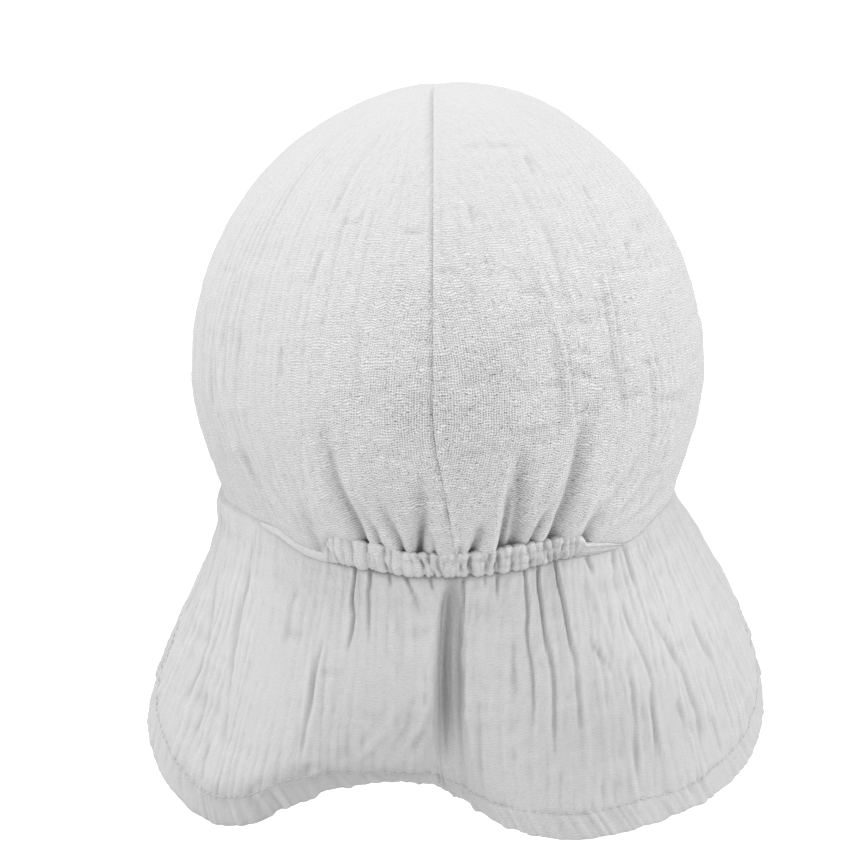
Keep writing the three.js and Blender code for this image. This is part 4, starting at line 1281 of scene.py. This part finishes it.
class SUNCAP_OT_stage(bpy.types.Operator):
    """Make the pale floor, the soft lights and the camera"""

    bl_idname = "suncap.stage"
    bl_label = "Stage"

    def execute(self, context):
        settings = context.scene.sun_cap_stage
        form = bmesh.new()
        bmesh.ops.create_grid(form, x_segments=2, y_segments=2, size=9)
        bmesh.ops.translate(form, verts=form.verts, vec=(0, 0, settings.floor_height))
        plain = Finish(
            "plain_floor",
            {
                "Base Color": (0.95, 0.95, 0.95, 1.0),
                "Roughness": 0.95,
                "Emission Color": (1.0, 1.0, 1.0, 1.0),
                "Emission Strength": settings.floor_glow,
            },
        )
        floor = new_piece("floor", new_mesh("floor", form), plain.material)
        floor.visible_diffuse = False  # it takes the cap's shadow and gives it no light
        world = bpy.data.worlds.new("studio")
        world.use_nodes = True
        background = world.node_tree.nodes["Background"].inputs
        background["Color"].default_value = (1.0, 1.0, 1.0, 1.0)
        background["Strength"].default_value = settings.ambient
        context.scene.world = world
        target = Vector(CAMERA["target"]) * MM
        self.light("top_softbox", (0.3, -0.3, 2.0), 2.0, settings.top_watts, target)
        self.light("left_softbox", (1.9, 0.2, 0.5), 1.2, settings.left_watts, target)
        self.light("right_softbox", (-1.9, 0.2, 0.4), 1.2, settings.right_watts, target)
        self.light("front_softbox", (-0.4, 2.5, 1.0), 1.6, settings.front_watts, target)
        self.camera(context, target)
        context.scene.view_settings.view_transform = "Standard"
        return {"FINISHED"}

    def light(self, name, place, size, watts, target):
        lamp = bpy.data.lights.new(name, "AREA")
        lamp.shape, lamp.size, lamp.energy = "DISK", size, watts
        light = bpy.data.objects.new(name, lamp)
        light.location = place
        light.rotation_euler = (target - Vector(place)).to_track_quat("-Z", "Y").to_euler()
        bpy.context.scene.collection.objects.link(light)

    def camera(self, context, target):
        tilt = math.radians(CAMERA["elevation"])
        away = CAMERA["distance"] * MM
        data = bpy.data.cameras.new("camera")
        data.sensor_width = 36.0
        data.sensor_fit = "HORIZONTAL"
        data.lens = 36.0 * CAMERA["distance"] / (FRAME_PIXELS[0] * CAMERA["mm_per_pixel"])
        data.clip_start, data.clip_end = 0.05, 40.0
        camera = bpy.data.objects.new("camera", data)
        camera.location = target + Vector((0, math.cos(tilt), math.sin(tilt))) * away
        camera.rotation_euler = (target - camera.location).to_track_quat("-Z", "Y").to_euler()
        context.scene.collection.objects.link(camera)
        context.scene.camera = camera


# What a user may change.


def number(name, description, default, **limits):
    return bpy.props.FloatProperty(name=name, description=description, default=default, **limits)


def colour(name, description, level):
    return bpy.props.FloatVectorProperty(
        name=name, description=description, default=(level, level, level), subtype="COLOR"
    )


class SunCapSizes(bpy.types.PropertyGroup):
    wall: number("Cloth", "Thickness of the double gauze, in millimetres", 1.2, min=0.5)
    crinkle_depth: number("Crinkle", "Depth of the cloth's crinkle, in millimetres", 0.55, min=0)
    fold_depth: number("Folds", "Depth of the gathers and folds, as a share of their own", 1.25, min=0)
    hem_height: number("Hem", "Height of the flap's turned-up hem, in millimetres", 7.6, min=2)
    casing_bulge: number("Bulge", "How far the casing stands out, in millimetres", 0.6, min=0)
    ruffle: number("Ruffle", "Height of the casing's ruffles, in millimetres", 2.0, min=0)


class SunCapLook(bpy.types.PropertyGroup):
    gauze: colour("Gauze", "Colour of the cloth", 0.97)
    thread: colour("Thread", "Colour of the sewing thread", 0.7)
    thread_gap: number(
        "Weave", "Distance between the threads of the gauze", 0.00086, precision=5, unit="LENGTH"
    )


class SunCapStage(bpy.types.PropertyGroup):
    floor_height: number("Floor", "Height of the floor", -0.36, unit="LENGTH")
    floor_glow: number("Floor glow", "Light that the floor gives", 0.45)
    ambient: number("Ambient", "Strength of the light all round", 0.77)
    top_watts: number("Top", "Light above", 16.0, unit="POWER")
    left_watts: number("Left", "Light on the left", 8.6, unit="POWER")
    right_watts: number("Right", "Light on the right", 9.7, unit="POWER")
    front_watts: number("Front", "Light over the camera", 9.7, unit="POWER")


class SUNCAP_PT_tools(bpy.types.Panel):
    """Sizes, colours and the pieces of the sun cap"""

    bl_label = "Sun Cap"
    bl_idname = "SUNCAP_PT_tools"
    bl_space_type = "VIEW_3D"
    bl_region_type = "UI"
    bl_category = "Sun Cap"

    def draw(self, context):
        scene = context.scene
        for group in (scene.sun_cap_sizes, scene.sun_cap_look, scene.sun_cap_stage):
            box = self.layout.box()
            for name in group.__annotations__:
                box.prop(group, name)
        for operator in OPERATORS:
            self.layout.operator(operator.bl_idname)


OPERATORS = (SUNCAP_OT_crown, SUNCAP_OT_casing, SUNCAP_OT_flap, SUNCAP_OT_peak, SUNCAP_OT_stage)
CLASSES = (SunCapSizes, SunCapLook, SunCapStage, *OPERATORS, SUNCAP_PT_tools)


def register():
    for cls in CLASSES:
        bpy.utils.register_class(cls)
    bpy.types.Scene.sun_cap_sizes = bpy.props.PointerProperty(type=SunCapSizes)
    bpy.types.Scene.sun_cap_look = bpy.props.PointerProperty(type=SunCapLook)
    bpy.types.Scene.sun_cap_stage = bpy.props.PointerProperty(type=SunCapStage)


def unregister():
    del bpy.types.Scene.sun_cap_stage
    del bpy.types.Scene.sun_cap_look
    del bpy.types.Scene.sun_cap_sizes
    for cls in reversed(CLASSES):
        bpy.utils.unregister_class(cls)


def main():
    register()
    bpy.ops.suncap.crown()
    bpy.ops.suncap.casing()
    bpy.ops.suncap.flap()
    bpy.ops.suncap.peak()
    bpy.ops.suncap.stage()


if __name__ == "__main__":
    main()
